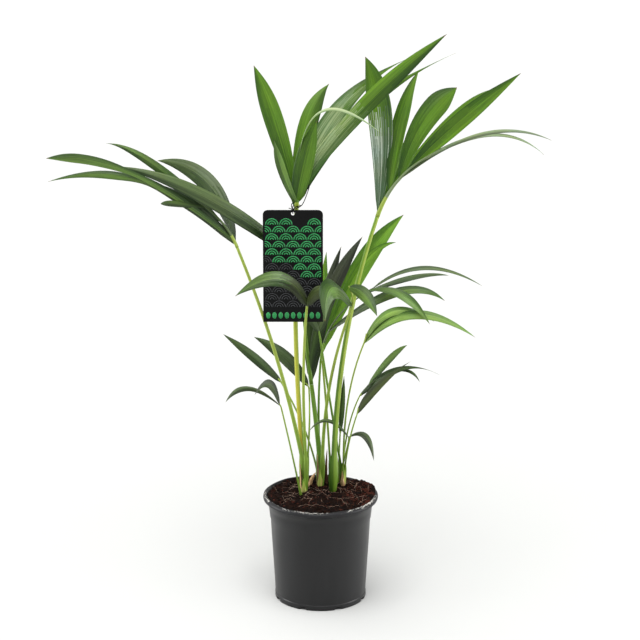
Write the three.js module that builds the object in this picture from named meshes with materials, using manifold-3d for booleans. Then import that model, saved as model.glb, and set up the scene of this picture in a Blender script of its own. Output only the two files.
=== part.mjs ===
// A young kentia palm (Howea forsteriana) in its grower's pot: four seedlings in one pot,
// each a clump of leaf sheaths with its petioles and their feather fronds, and a hang card.
//
// Millimetres, +Z up, -Y towards the front. The origin is the centre of the pot's flat
// underside. Every sub-part is its own mesh, and touching meshes keep a gap of 0.3 mm.

import * as THREE from 'three';
import { mergeVertices } from 'three/addons/utils/BufferGeometryUtils.js';
import Module from 'manifold-3d';

const wasm = await Module();
wasm.setup();

// ---------------------------------------------------------------- driving dimensions

const GAP = 0.3;

const POT_HEIGHT = 178;
const POT_RIM_RADIUS = 95;
const POT_WALL = 2.2;
const POT_FOOT_RADIUS = 75;
const POT_FOOT_HEIGHT = 9;
const POT_COLLAR_RADIUS = 84.5;
const POT_COLLAR_HEIGHT = 30;
const POT_COLLAR_FLARE = 2.5;
const POT_RIM_ROLL = 9;
const POT_SEGMENTS = 40;
const DRAIN_SLOTS = 8;
const DRAIN_WIDTH = 12;
const DRAIN_HEIGHT = 5;
const DRAIN_DEPTH = 16;
const DRAIN_OVERHANG = 2;

const SOIL_EDGE_HEIGHT = 171;
const SOIL_EDGE_RADIUS = 84;
const SOIL_MOUND_HEIGHT = 179;
const SOIL_MOUND_RADIUS = 42;
const SOIL_SWELL_HEIGHT = 139;
const SOIL_SEGMENTS = 24;

const CARD_WIDTH = 96;
const CARD_HEIGHT = 186;
const CARD_THICKNESS = 1;
const CARD_CORNER = 8;
const CARD_HOLE_RADIUS = 3;
const CARD_HOLE_DROP = 6;
const CARD_CENTRE = [-44, -2, 566];
const CARD_CORNER_STEPS = 5;

const TIE_RADIUS = 0.9;
const TIE_STEPS = 30;
const TIE_HEIGHT = 2.5;
const DRY_SHEATH = { foot: [9.8, 41], tip: [11, 42, 240], width: 5 };

const THICK_SIDES = 8;
const THIN_SIDES = 6;
const THICK_RADIUS = 3.2;
const PETIOLE_STEPS = 8;
const RACHIS_STEPS = 4;
const RACHIS_TIP_RADIUS = 1.2;
const LEAFLET_STEPS = 6;
const LEAFLET_SLENDERNESS = 90;
const LEAFLET_ROOT_WIDTH = 0.35;
const LEAFLET_FOLD = 0.22;
const LEAFLET_TIP_WIDTH = 0.05;
const LEAFLET_WAIST_LENGTH = 0.13;

// ------------------------------------------------------------------------- materials

const COLOURS = {
  pot: { color: '#26272a', roughness: 0.45, metalness: 0 },
  soil: { color: '#4a2f22', roughness: 1, metalness: 0 },
  card: { color: '#1f2a22', roughness: 0.4, metalness: 0 },
  tie: { color: '#17181a', roughness: 0.6, metalness: 0 },
  sheath: { color: '#5d6b34', roughness: 0.7, metalness: 0 },
  dry: { color: '#5b4030', roughness: 0.9, metalness: 0 },
  petiole: { color: '#7d9a3c', roughness: 0.5, metalness: 0 },
  bright: { color: '#4f8a2e', roughness: 0.45, metalness: 0 },
  grey: { color: '#5f7d4c', roughness: 0.5, metalness: 0 },
  dark: { color: '#2f5224', roughness: 0.45, metalness: 0 },
};

function finish(name) {
  return new THREE.MeshStandardMaterial(COLOURS[name]);
}

// ------------------------------------------------------------- solids, joins and cuts

function vec(point) {
  return new THREE.Vector3(point[0], point[1], point[2]);
}

function toSolid(geometry) {
  const bare = geometry.clone();
  bare.deleteAttribute('normal');
  bare.deleteAttribute('uv');
  const merged = mergeVertices(bare, 1e-4);
  return new wasm.Manifold(new wasm.Mesh({
    numProp: 3,
    vertProperties: new Float32Array(merged.attributes.position.array),
    triVerts: new Uint32Array(merged.index.array),
  }));
}

function toGeometry(solid) {
  const mesh = solid.getMesh();
  const geometry = new THREE.BufferGeometry();
  geometry.setAttribute('position', new THREE.BufferAttribute(mesh.vertProperties, 3));
  geometry.setIndex(new THREE.BufferAttribute(mesh.triVerts, 1));
  geometry.computeVertexNormals();
  return geometry;
}

function join(solids) {
  return solids.reduce((whole, solid) => whole.add(solid));
}

function cut(solid, tools) {
  return tools.reduce((rest, tool) => rest.subtract(tool), solid);
}

function largestPiece(solid) {
  const pieces = solid.decompose();
  return pieces.reduce((best, piece) => (piece.volume() > best.volume() ? piece : best));
}

// A closed skin over rings of points, each ring running anticlockwise about the way on.
// The end caps are fans from ring point `hub`, and a ring that closes has none.
function loft(rings, hub = 0, closed = false) {
  const count = rings[0].length;
  const positions = rings.flat().flatMap((point) => [point.x, point.y, point.z]);
  const triangles = [];
  const spans = closed ? rings.length : rings.length - 1;
  for (let i = 0; i < spans; i += 1) {
    const here = i * count;
    const next = ((i + 1) % rings.length) * count;
    for (let j = 0; j < count; j += 1) {
      const k = (j + 1) % count;
      triangles.push(here + j, here + k, next + k, here + j, next + k, next + j);
    }
  }
  if (!closed) {
    const last = (rings.length - 1) * count;
    for (let j = 1; j < count - 1; j += 1) {
      const a = (hub + j) % count;
      const b = (hub + j + 1) % count;
      triangles.push(hub, b, a, last + hub, last + a, last + b);
    }
  }
  const geometry = new THREE.BufferGeometry();
  geometry.setAttribute('position', new THREE.Float32BufferAttribute(positions, 3));
  geometry.setIndex(triangles);
  geometry.computeVertexNormals();
  return geometry;
}

// A socket's cutter: the grown solid, reaching as far below the foot as it has grown.
function deepened(solid, grow) {
  return grow > 0 ? solid.add(solid.translate([0, 0, -grow])) : solid;
}

// The curve from start to end that passes through `middle` half way.
function arch(start, middle, end) {
  const control = middle.clone().multiplyScalar(2).addScaledVector(start, -0.5);
  control.addScaledVector(end, -0.5);
  return new THREE.QuadraticBezierCurve3(start, control, end);
}

// The part of `direction` that is square to `along`, as a unit vector.
function squareTo(direction, along) {
  return direction.clone().addScaledVector(along, -direction.dot(along)).normalize();
}

// A round tube along a curve, whose radius is a function of the way along, 0 to 1.
function tube(curve, radiusAt, steps, closed = false) {
  const sides = radiusAt(0) > THICK_RADIUS ? THICK_SIDES : THIN_SIDES;
  const rings = [];
  const last = closed ? steps - 1 : steps;
  for (let i = 0; i <= last; i += 1) {
    const t = i / steps;
    const centre = curve.getPoint(t);
    const along = curve.getTangent(t);
    const across = squareTo(closed ? new THREE.Vector3(1, 0, 0) : new THREE.Vector3(0, 1, 0), along);
    const up = along.clone().cross(across);
    const ring = [];
    for (let j = 0; j < sides; j += 1) {
      const angle = (2 * Math.PI * j) / sides;
      const point = centre.clone().addScaledVector(across, radiusAt(t) * Math.cos(angle));
      ring.push(point.addScaledVector(up, radiusAt(t) * Math.sin(angle)));
    }
    rings.push(ring);
  }
  return loft(rings, 0, closed);
}

// --------------------------------------------------------------------- pot and soil

// The pot is one turned outline, from the middle of its underside up the outside, over the
// rolled rim and down the inside, with drainage slots cut through the edge of its foot.
function potGeometry() {
  const collarBase = POT_HEIGHT - POT_RIM_ROLL - POT_COLLAR_HEIGHT;
  const rollBase = POT_HEIGHT - POT_RIM_ROLL;
  const outline = [
    [0, 0],
    [POT_FOOT_RADIUS - 1.5, 0],
    [POT_FOOT_RADIUS, 1.5],
    [POT_FOOT_RADIUS, POT_FOOT_HEIGHT - 1],
    [POT_FOOT_RADIUS - 1, POT_FOOT_HEIGHT],
    [POT_COLLAR_RADIUS - 2.5, collarBase - 1],
    [POT_COLLAR_RADIUS - 1, collarBase + 1],
    [POT_COLLAR_RADIUS + POT_COLLAR_FLARE, rollBase],
    [POT_RIM_RADIUS - 3, rollBase],
    [POT_RIM_RADIUS, rollBase + 3],
    [POT_RIM_RADIUS - 0.5, POT_HEIGHT - 2.5],
    [POT_RIM_RADIUS - 3.5, POT_HEIGHT],
    [POT_COLLAR_RADIUS + POT_COLLAR_FLARE + 2, POT_HEIGHT],
    [POT_COLLAR_RADIUS + POT_COLLAR_FLARE - POT_WALL + 1, POT_HEIGHT - 3],
    [POT_COLLAR_RADIUS - POT_WALL - 1, collarBase + 1],
    [POT_FOOT_RADIUS - 1 - POT_WALL, POT_FOOT_HEIGHT],
    [POT_FOOT_RADIUS - 3 - POT_WALL, POT_WALL],
    [0, POT_WALL],
  ];
  const lathe = new THREE.LatheGeometry(outline.map(([r, z]) => new THREE.Vector2(r, z)), POT_SEGMENTS);
  lathe.rotateX(Math.PI / 2);
  const slots = [];
  for (let i = 0; i < DRAIN_SLOTS; i += 1) {
    const slot = new THREE.BoxGeometry(DRAIN_DEPTH, DRAIN_WIDTH, 2 * DRAIN_HEIGHT);
    slot.translate(POT_FOOT_RADIUS + DRAIN_OVERHANG - DRAIN_DEPTH / 2, 0, 0);
    slot.rotateZ((2 * Math.PI * (i + 0.5)) / DRAIN_SLOTS);
    slots.push(toSolid(slot));
  }
  return toGeometry(cut(toSolid(lathe), slots));
}

// The radius of the pot's inner wall at a height above its foot.
function potInnerRadius(z) {
  const low = POT_FOOT_RADIUS - 1 - POT_WALL;
  const high = POT_COLLAR_RADIUS - POT_WALL - 1;
  const collarBase = POT_HEIGHT - POT_RIM_ROLL - POT_COLLAR_HEIGHT;
  return low + ((high - low) * (z - POT_FOOT_HEIGHT)) / (collarBase + 1 - POT_FOOT_HEIGHT);
}

// The compost fills the pot, 0.5 mm inside its sloping wall, and heaps up in the middle.
function soilSolid() {
  const clear = 0.5;
  const upperRadius = potInnerRadius(SOIL_SWELL_HEIGHT);
  const outline = [
    [0, POT_WALL + GAP],
    [POT_FOOT_RADIUS - 4 - POT_WALL, POT_WALL + GAP],
    [POT_FOOT_RADIUS - 1 - POT_WALL - clear, POT_FOOT_HEIGHT + 1],
    [upperRadius - clear, SOIL_SWELL_HEIGHT],
    [SOIL_EDGE_RADIUS, SOIL_EDGE_HEIGHT - 1],
    [SOIL_EDGE_RADIUS - 4, SOIL_EDGE_HEIGHT + 1],
    [SOIL_MOUND_RADIUS + 16, SOIL_EDGE_HEIGHT + 3],
    [SOIL_MOUND_RADIUS, SOIL_MOUND_HEIGHT - 1],
    [SOIL_MOUND_RADIUS / 2, SOIL_MOUND_HEIGHT],
    [0, SOIL_MOUND_HEIGHT],
  ];
  const lathe = new THREE.LatheGeometry(outline.map(([r, z]) => new THREE.Vector2(r, z)), SOIL_SEGMENTS);
  lathe.rotateX(Math.PI / 2);
  return toSolid(lathe);
}

// ------------------------------------------------------------------- hang card and tie

function cardGeometry() {
  const right = CARD_WIDTH / 2;
  const top = CARD_HEIGHT / 2;
  const corner = CARD_CORNER;
  const shape = new THREE.Shape();
  shape.moveTo(-right, -top);
  shape.lineTo(right, -top);
  shape.lineTo(right, top - corner);
  shape.absarc(right - corner, top - corner, corner, 0, Math.PI / 2);
  shape.lineTo(-right + corner, top);
  shape.absarc(-right + corner, top - corner, corner, Math.PI / 2, Math.PI);
  const hole = new THREE.Path();
  hole.absarc(0, top - CARD_HOLE_DROP, CARD_HOLE_RADIUS, 0, 2 * Math.PI, true);
  shape.holes.push(hole);
  const card = new THREE.ExtrudeGeometry(shape, {
    depth: CARD_THICKNESS, bevelEnabled: false, curveSegments: CARD_CORNER_STEPS,
  });
  card.translate(0, 0, -CARD_THICKNESS / 2);
  card.rotateX(Math.PI / 2);
  card.translate(CARD_CENTRE[0], CARD_CENTRE[1], CARD_CENTRE[2]);
  return card;
}

// The elastic goes once round the back of a petiole at `crossing`, a circle of `wrap`
// points, and its two strands come together through the card's hole.
function tieGeometry(crossing, petioleRadius) {
  const clear = petioleRadius + TIE_RADIUS + GAP;
  const away = CARD_THICKNESS / 2 + TIE_RADIUS + 2 * GAP;
  const holeHeight = CARD_CENTRE[2] + CARD_HEIGHT / 2 - CARD_HOLE_DROP;
  const hole = new THREE.Vector3(CARD_CENTRE[0], CARD_CENTRE[1], holeHeight);
  const wrap = 6;
  const route = [
    hole,
    hole.clone().add(new THREE.Vector3(0, away, 2)),
    hole.clone().add(new THREE.Vector3(-0.5, away + 2, 5)),
  ];
  for (let i = 0; i <= wrap; i += 1) {
    const angle = Math.PI * (1.1 - (1.2 * i) / wrap);
    const around = new THREE.Vector3(clear * Math.cos(angle), clear * Math.sin(angle), 0);
    route.push(crossing.clone().add(around));
  }
  route.push(hole.clone().add(new THREE.Vector3(5, -away, 9)));
  route.push(hole.clone().add(new THREE.Vector3(0.5, -away - 0.5, 2)));
  const loop = new THREE.CatmullRomCurve3(route, true, 'centripetal');
  return tube(loop, () => TIE_RADIUS, TIE_STEPS, true);
}

// ------------------------------------------------------------------ clumps of sheaths

// Each seedling's false stem: the wrapped sheaths of its fronds, from the soil up to where
// the petioles part. width and depth are across X and Y, and lean is its top's shift.
const STEMS = {
  left: { foot: [-27, 10.5], width: 16, depth: 29, top: 256, lean: [-1, 0] },
  middle: { foot: [-1, 36], width: 13, depth: 27, top: 250, lean: [-1, 0] },
  right: { foot: [20, 12], width: 16, depth: 17, top: 256, lean: [2, 0] },
  small: { foot: [37, 40], width: 13, depth: 22, top: 228, lean: [1, 0] },
};
const STEM_SEAT = 8;
const STEM_SOCKET = 14;
const STEM_SIDES = 12;
const STEM_PROFILE = [[0, 1.1], [0.12, 1.14], [0.45, 1], [0.8, 1], [0.94, 0.92], [1, 0.8]];

function stemSolid(stem, grow = 0) {
  const bottom = SOIL_MOUND_HEIGHT - STEM_SEAT - grow;
  const rings = STEM_PROFILE.map(([t, girth]) => {
    const ring = [];
    for (let j = 0; j < STEM_SIDES; j += 1) {
      const angle = (2 * Math.PI * j) / STEM_SIDES;
      ring.push(new THREE.Vector3(
        stem.foot[0] + stem.lean[0] * t + (girth * (stem.width / 2) + grow) * Math.cos(angle),
        stem.foot[1] + stem.lean[1] * t + (girth * (stem.depth / 2) + grow) * Math.sin(angle),
        bottom + (stem.top - bottom) * t,
      ));
    }
    return ring;
  });
  return toSolid(loft(rings));
}

// The dead tip of an old sheath that stands by itself between two clumps: a flat blade,
// widest at its foot, with `thick` half its thickness.
function drySheathSolid(grow = 0) {
  const foot = new THREE.Vector3(DRY_SHEATH.foot[0], DRY_SHEATH.foot[1], SOIL_MOUND_HEIGHT - STEM_SEAT);
  const tip = vec(DRY_SHEATH.tip);
  const rings = [0, 0.3, 0.6, 0.85, 1].map((t) => {
    const centre = foot.clone().lerp(tip, t);
    const half = (DRY_SHEATH.width / 2) * (1 - 0.9 * t ** 1.5) + grow;
    const thick = 0.8 * (1 - 0.6 * t) + grow;
    return [[half, 0], [0, thick], [-half, 0], [0, -thick]].map(
      ([x, y]) => centre.clone().add(new THREE.Vector3(x, y, 0)),
    );
  });
  return deepened(toSolid(loft(rings)), grow);
}

// ---------------------------------------------------------------------------- fronds

// One leaflet: where its root is on the rachis (0 at the petiole, 1 at the rachis's end),
// the point half way along it, its tip, and its width. face is the way its upper side
// looks half way along, widest is how far along its widest place is, base is the width of
// its root as a share of its widest, tail draws its tip out over 1, and waist is the share
// of its width it loses half way along.
function leaflet(at, over, tip, width, more = {}) {
  return {
    at, over: vec(over), tip: vec(tip), width,
    face: vec(more.face ?? [0, -1, 0.35]),
    widest: more.widest ?? 0.42,
    base: more.base ?? LEAFLET_ROOT_WIDTH,
    tail: more.tail ?? 1,
    waist: more.waist ?? 0,
  };
}

// Each frond: the clump it grows from (null where it stands in the soil by itself), the
// petiole's foot, the point half way up it and its top, the end of its rachis, the
// petiole's radius at foot and top, and the leaflets.
const FRONDS = [
  {
    name: 'left_high', stem: 'left', tone: 'grey', radius: [4, 2.8],
    foot: [-31, 10], bow: [-74, 8, 420], top: [-133, 2, 596], end: [-199, -4, 676],
    leaflets: [
      leaflet(0.12, [-292, -30, 724], [-429, -55, 756], 15, { widest: 0.8, waist: 0.4 }),
      leaflet(0.05, [-278, -5, 705], [-434, 15, 701], 20, { widest: 0.35, waist: 0.6, base: 0.5, tail: 1.1 }),
      leaflet(0.45, [-268, 8, 733], [-341, 25, 761], 15, { widest: 0.35, tail: 1.5 }),
      leaflet(0.08, [-184, 85, 683], [-264, 95, 716], 30, { widest: 0.5, base: 0.2 }),
      leaflet(0.8, [-230, -24, 675], [-252, -38, 678], 10, { widest: 0.5 }),
    ],
  },
  {
    name: 'centre_high', stem: 'left', tone: 'bright', radius: [4.4, 3.9],
    foot: [-30, 20.5], bow: [-40, 17, 455], top: [-38, 14, 661], end: [-37, 18, 690],
    leaflets: [
      leaflet(0.3, [-71, 36, 787], [-106, 60, 880], 31, { base: 0.25, widest: 0.55 }),
      leaflet(0.1, [-59, 2, 717], [-73, -4, 772], 14, { base: 0.5, widest: 0.6 }),
      leaflet(0.3, [-21, 50, 783], [14, 85, 845], 30, { base: 0.5, widest: 0.5, tail: 1.2 }),
      leaflet(0.45, [28, 60, 806], [143, 105, 883], 30, { base: 0.5, widest: 0.4, tail: 2.2 }),
      leaflet(0.6, [56, 25, 807], [214, 50, 902], 22, { base: 0.4, widest: 0.4, tail: 2.5 }),
      leaflet(0.7, [58, -14, 818], [195, -50, 952], 27, { base: 0.3, widest: 0.6 }),
      leaflet(0.25, [-24, -4, 744], [-6, -8, 805], 30, { base: 0.6 }),
      leaflet(0.9, [-4, -30, 823], [95, -80, 801], 9, { face: [0, -0.5, 1] }),
    ],
  },
  {
    name: 'right_high', stem: 'right', tone: 'bright', radius: [5.8, 3.6],
    foot: [22, 12], bow: [43, 19, 450], top: [91, 27.6, 640], end: [197, -15, 763],
    leaflets: [
      leaflet(0.02, [96, 50, 792], [71, 60, 894], 39, { widest: 0.55, base: 0.15 }),
      leaflet(0.27, [127, 60, 788], [157, 90, 865], 24, { base: 0.3 }),
      leaflet(0.45, [163, 48, 789], [218, 70, 842], 37, { widest: 0.7, base: 0.25 }),
      leaflet(0.6, [216, 22, 794], [315, 10, 878], 27, { base: 0.3, widest: 0.5 }),
      leaflet(0.45, [250, -22, 787], [360, -60, 786], 10, { base: 0.8, face: [0, -0.5, 1] }),
      leaflet(0.6, [261, -5, 782], [355, 20, 744], 9, { base: 0.8, face: [0, -0.5, 1] }),
    ],
  },
  {
    name: 'centre_dark', stem: 'middle', tone: 'dark', radius: [4.4, 3.5],
    foot: [-2, 37], bow: [-8, 45, 292], top: [-15, 58, 347], end: [-33, 62, 555],
    leaflets: [
      leaflet(1, [-191, -16, 688], [-333, -6, 732], 24, { widest: 0.35, tail: 1.3 }),
      leaflet(0.05, [-16, 75, 418], [-25, 90, 500], 22, { base: 0.4 }),
      leaflet(0.02, [6, 88, 470], [34, 102, 570], 22, { base: 0.4 }),
      leaflet(0.08, [12, 68, 487], [68, 64, 597], 22, { base: 0.4, widest: 0.6 }),
      leaflet(0.6, [-42, 95, 545], [-25, 112, 600], 22),
    ],
  },
  {
    name: 'right_arching', stem: 'middle', tone: 'dark', radius: [2, 1.8],
    foot: [-2, 47], bow: [-3, 51, 312], top: [0, 56, 386], end: [85, 40, 517],
    leaflets: [
      leaflet(1, [169, 50, 549], [262, 35, 522], 10, { face: [0, -0.5, 1] }),
      leaflet(0.9, [151, 75, 526], [210, 90, 524], 12, { face: [0, -0.5, 1] }),
      leaflet(0.35, [123, 20, 517], [200, 5, 506], 18, { face: [0, -0.7, 0.8], base: 0.3 }),
      leaflet(0.97, [130, -20, 525], [174, -55, 485], 20, { face: [0.3, -0.7, 0.8] }),
    ],
  },
  {
    name: 'centre_bright', stem: null, tone: 'bright', radius: [1.9, 1.8],
    foot: [18, 44], bow: [12, 58, 275], top: [3, 85, 380], end: [5, 90, 402],
    leaflets: [
      leaflet(0.8, [66, 118, 530], [137, 150, 611], 32, { widest: 0.5, base: 0.3 }),
      leaflet(0.5, [62, 113, 525], [124, 120, 572], 16),
      leaflet(0.6, [4, 128, 470], [10, 168, 543], 17),
    ],
  },
  {
    name: 'centre_folded', stem: 'small', tone: 'grey', radius: [2, 1.7],
    foot: [33, 46.5], bow: [16, 46, 320], top: [0, 50, 426], end: [-4, 51, 446],
    leaflets: [
      leaflet(0.6, [-27, 38, 484], [-53, 32, 524], 15, { base: 0.4 }),
      leaflet(0.7, [9, 53, 466], [22, 50, 505], 12, { base: 0.4 }),
    ],
  },
  {
    name: 'right_bright', stem: 'small', tone: 'bright', radius: [1.8, 1.5],
    foot: [38, 39.5], bow: [45, 19, 333], top: [69, -8, 436], end: [74, -12, 456],
    leaflets: [
      leaflet(0.5, [118, -18, 496], [182, -30, 482], 15, { base: 0.45, face: [0, -0.8, 0.8] }),
      leaflet(0.15, [149, -36, 496], [246, -64, 466], 17, { base: 0.45, face: [0, -0.8, 0.8] }),
    ],
  },
  {
    name: 'right_low', stem: 'small', tone: 'dark', radius: [1.5, 1.3],
    foot: [37.5, 44.5], bow: [46, 28, 282], top: [62, -8, 346], end: [103, -12, 388],
    leaflets: [
      leaflet(0.05, [126, -30, 402], [191, -52, 399], 15, { widest: 0.22, tail: 3, base: 0.3 }),
      leaflet(0.55, [114, 10, 408], [141, 25, 425], 11, { base: 0.5 }),
      leaflet(1, [138, -30, 400], [159, -52, 387], 6, { face: [0, -0.7, 0.8] }),
    ],
  },
  {
    name: 'right_lower', stem: 'small', tone: 'dark', radius: [1.5, 1.3],
    foot: [41, 35.5], bow: [47, -4, 270], top: [58, -38, 325], end: [61, -42, 340],
    leaflets: [
      leaflet(0.3, [92, -58, 382], [144, -75, 430], 13, { widest: 0.35, tail: 1.5 }),
    ],
  },
  {
    name: 'front_low', stem: 'small', tone: 'dark', radius: [1.4, 1.2],
    foot: [37, 33], bow: [41, 27, 236], top: [46, 22, 261], end: [46, 21, 269],
    leaflets: [
      leaflet(0.8, [12, 22, 296], [-19, 6, 283], 6),
      leaflet(0.9, [73, 5, 276], [87, -15, 240], 12, { face: [0.4, -0.8, 0.5] }),
    ],
  },
  {
    name: 'left_low', stem: null, tone: 'dark', radius: [1.6, 1.3],
    foot: [-30.5, -9.5], bow: [-48, -28, 265], top: [-63, -58, 346], end: [-66, -62, 354],
    leaflets: [
      leaflet(0.4, [-114, -85, 388], [-150, -120, 376], 12, { face: [-0.2, -0.7, 1], widest: 0.45 }),
      leaflet(0.9, [-81, -85, 395], [-104, -115, 387], 14),
    ],
  },
  {
    name: 'back_left', stem: null, tone: 'dark', radius: [1.7, 1.5],
    foot: [-1, 54], bow: [-22, 62, 255], top: [-61, 85, 335], end: [-70, 92, 346],
    leaflets: [
      leaflet(0.5, [-112, 122, 374], [-163, 150, 405], 16),
    ],
  },
  {
    name: 'back_inner', stem: 'left', tone: 'dark', radius: [1.7, 1.4],
    foot: [-20.5, 12], bow: [-18, 33, 296], top: [-19, 66, 336], end: [-25, 72, 345],
    leaflets: [
      leaflet(0.5, [-61, 110, 379], [-111, 140, 403], 22),
    ],
  },
  {
    name: 'front_left', stem: 'left', tone: 'grey', radius: [2.6, 2],
    foot: [-24, 0.5], bow: [-27.5, -13, 378], top: [-22, -30, 503], end: [-19, -36, 525],
    leaflets: [
      leaflet(0.35, [-65, -72, 565], [-133, -120, 551], 24, { base: 0.7, widest: 0.5 }),
      leaflet(0.3, [-2, -48, 537], [21, -52, 529], 20, { base: 0.6 }),
    ],
  },
  {
    name: 'front_right', stem: 'middle', tone: 'grey', radius: [3, 2.2],
    foot: [3.5, 27], bow: [17, 22, 368], top: [50, -30, 506], end: [45, -40, 544],
    leaflets: [
      leaflet(0.1, [18, -66, 548], [7, -108, 506], 36, { base: 0.5 }),
      leaflet(0.95, [70, -62, 536], [89, -92, 510], 21, { base: 0.5 }),
    ],
  },
  {
    name: 'spear', stem: null, tone: 'dark', radius: [1.5, 1.3],
    foot: [29, 54], bow: [30.5, 55, 210], top: [32, 56, 251], end: [33, 58, 266],
    leaflets: [
      leaflet(0.6, [36, 66, 308], [39, 76, 356], 9),
    ],
  },
  {
    name: 'back_right', stem: null, tone: 'bright', radius: [2.4, 2],
    foot: [22, 56], bow: [36, 68, 385], top: [60, 92, 517], end: [100, 165, 632],
    leaflets: [
      leaflet(0.9, [100, 190, 745], [80, 215, 827], 28),
      leaflet(0.95, [131, 225, 728], [156, 255, 801], 17),
      leaflet(1, [171, 215, 753], [215, 235, 796], 24),
      leaflet(0.97, [209, 190, 755], [295, 200, 813], 17, { base: 0.2, widest: 0.6 }),
    ],
  },
  {
    name: 'back_centre', stem: null, tone: 'bright', radius: [2.4, 2],
    foot: [-27, 46], bow: [-37, 72, 341], top: [-40, 110, 431], end: [-40, 150, 628],
    leaflets: [
      leaflet(0.95, [-67, 175, 745], [-93, 195, 808], 20),
      leaflet(0.98, [-22, 200, 746], [3, 225, 789], 17),
      leaflet(1, [48, 165, 766], [132, 150, 837], 18),
      leaflet(0.3, [-68, 200, 485], [-89, 245, 454], 18, { face: [0, 0.5, 1] }),
      leaflet(0.4, [-21, 205, 501], [-6, 255, 460], 18, { face: [0, 0.5, 1] }),
      leaflet(0.6, [-76, 190, 557], [-91, 225, 579], 16, { face: [0, 0.5, 1] }),
    ],
  },
];

// A petiole's foot is in its clump's socket, or in the soil where it stands by itself.
function petioleFootHeight(frond) {
  return frond.stem ? STEMS[frond.stem].top - STEM_SOCKET : SOIL_MOUND_HEIGHT - STEM_SEAT;
}

function petioleCurve(frond) {
  const foot = new THREE.Vector3(frond.foot[0], frond.foot[1], petioleFootHeight(frond));
  return arch(foot, vec(frond.bow), vec(frond.top));
}

function petioleSolid(frond, grow = 0) {
  const [foot, top] = frond.radius;
  const rod = tube(petioleCurve(frond), (t) => foot + (top - foot) * t + grow, PETIOLE_STEPS);
  return deepened(toSolid(rod), grow);
}

// The rachis runs on from the petiole's top the same way and bends to its own end.
function rachisCurve(frond) {
  const petiole = petioleCurve(frond);
  const along = petiole.getTangent(1);
  const start = vec(frond.top).addScaledVector(along, GAP);
  const end = vec(frond.end);
  const bend = start.clone().addScaledVector(along, start.distanceTo(end) / 2);
  return new THREE.QuadraticBezierCurve3(start, bend, end);
}

// A leaflet's width along it, as a share of its widest: a narrow root, then a long taper.
function leafletWidthShare(t, { base, widest, tail, waist }) {
  const narrowed = 1 - waist * Math.exp(-(((t - 0.5) / LEAFLET_WAIST_LENGTH) ** 2));
  if (t < widest) {
    return narrowed * (base + (1 - base) * Math.sin((Math.PI / 2) * (t / widest)));
  }
  const past = (t - widest) / (1 - widest);
  const taper = Math.cos((Math.PI / 2) * past ** 1.15) ** tail;
  return narrowed * (LEAFLET_TIP_WIDTH + (1 - LEAFLET_TIP_WIDTH) * taper);
}

// A leaflet is a thin blade folded along its rib, with its root inside the rachis. Its face
// is set half way along and carried from there along the curve without a twist.
function leafletSolid(rachis, leaf) {
  const root = rachis.getPoint(leaf.at);
  const curve = arch(root, leaf.over, leaf.tip);
  const length = curve.getLength();
  const rib = length / LEAFLET_SLENDERNESS;
  const middle = curve.getTangent(0.5);
  const face = squareTo(leaf.face, middle);
  const rings = [];
  for (let i = 0; i <= LEAFLET_STEPS; i += 1) {
    const t = i / LEAFLET_STEPS;
    const centre = curve.getPoint(t);
    const along = curve.getTangent(t);
    const bend = new THREE.Quaternion().setFromUnitVectors(middle, along);
    const up = face.clone().applyQuaternion(bend);
    const across = up.clone().cross(along);
    const share = leafletWidthShare(t, leaf);
    const half = (leaf.width / 2) * share;
    const thick = rib * (0.4 + 0.6 * share);
    const drop = half * LEAFLET_FOLD;
    const section = [
      [half, -drop - thick / 4], [half, -drop + thick / 4], [0, thick / 2],
      [-half, -drop + thick / 4], [-half, -drop - thick / 4], [0, -thick / 2],
    ];
    rings.push(section.map(([x, y]) => centre.clone().addScaledVector(across, x).addScaledVector(up, y)));
  }
  return toSolid(loft(rings, 2));
}

function frondSolid(frond) {
  const rachis = rachisCurve(frond);
  const start = frond.radius[1];
  const rod = toSolid(tube(rachis, (t) => start + (RACHIS_TIP_RADIUS - start) * t, RACHIS_STEPS));
  const whole = join([rod, ...frond.leaflets.map((leaf) => leafletSolid(rachis, leaf))]);
  return largestPiece(cut(whole, [petioleSolid(frond, GAP)]));
}

// -------------------------------------------------------------------------- assembly

const group = new THREE.Group();

function place(name, geometry, material) {
  const mesh = new THREE.Mesh(geometry, finish(material));
  mesh.name = name;
  group.add(mesh);
}

const growing = (stemName) => FRONDS.filter((frond) => frond.stem === stemName);
const standing = [
  ...Object.values(STEMS).map((stem) => stemSolid(stem, GAP)),
  ...growing(null).map((frond) => petioleSolid(frond, GAP)),
  drySheathSolid(GAP),
];

place('pot', potGeometry(), 'pot');
place('soil', toGeometry(cut(soilSolid(), standing)), 'soil');
place('card', cardGeometry(), 'card');
place('dry_sheath', toGeometry(drySheathSolid()), 'dry');

for (const [name, stem] of Object.entries(STEMS)) {
  const sockets = growing(name).map((frond) => petioleSolid(frond, GAP));
  place(`stem_${name}`, toGeometry(largestPiece(cut(stemSolid(stem), sockets))), 'sheath');
}

for (const frond of FRONDS) {
  place(`petiole_${frond.name}`, toGeometry(petioleSolid(frond)), 'petiole');
  place(`frond_${frond.name}`, toGeometry(frondSolid(frond)), frond.tone);
}

const tied = FRONDS.find((frond) => frond.name === 'centre_high');
const crossing = vec(tied.top).add(new THREE.Vector3(0, 0, TIE_HEIGHT));
place('card_tie', tieGeometry(crossing, tied.radius[1]), 'tie');

export default group;
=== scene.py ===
# Looks of a young kentia palm in its grower's pot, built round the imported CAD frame.
#
# Metres, in the frame of the CAD: +Z up, -Y towards the camera, the origin under the pot's
# middle. Sizes are written in millimetres and pass through MM. Every frond, petiole and
# clump grows from the same named values as its solid, carried to finer leaflets.

import math
import random

import bpy
import numpy as np
from mathutils import Matrix, Vector, noise


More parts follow.
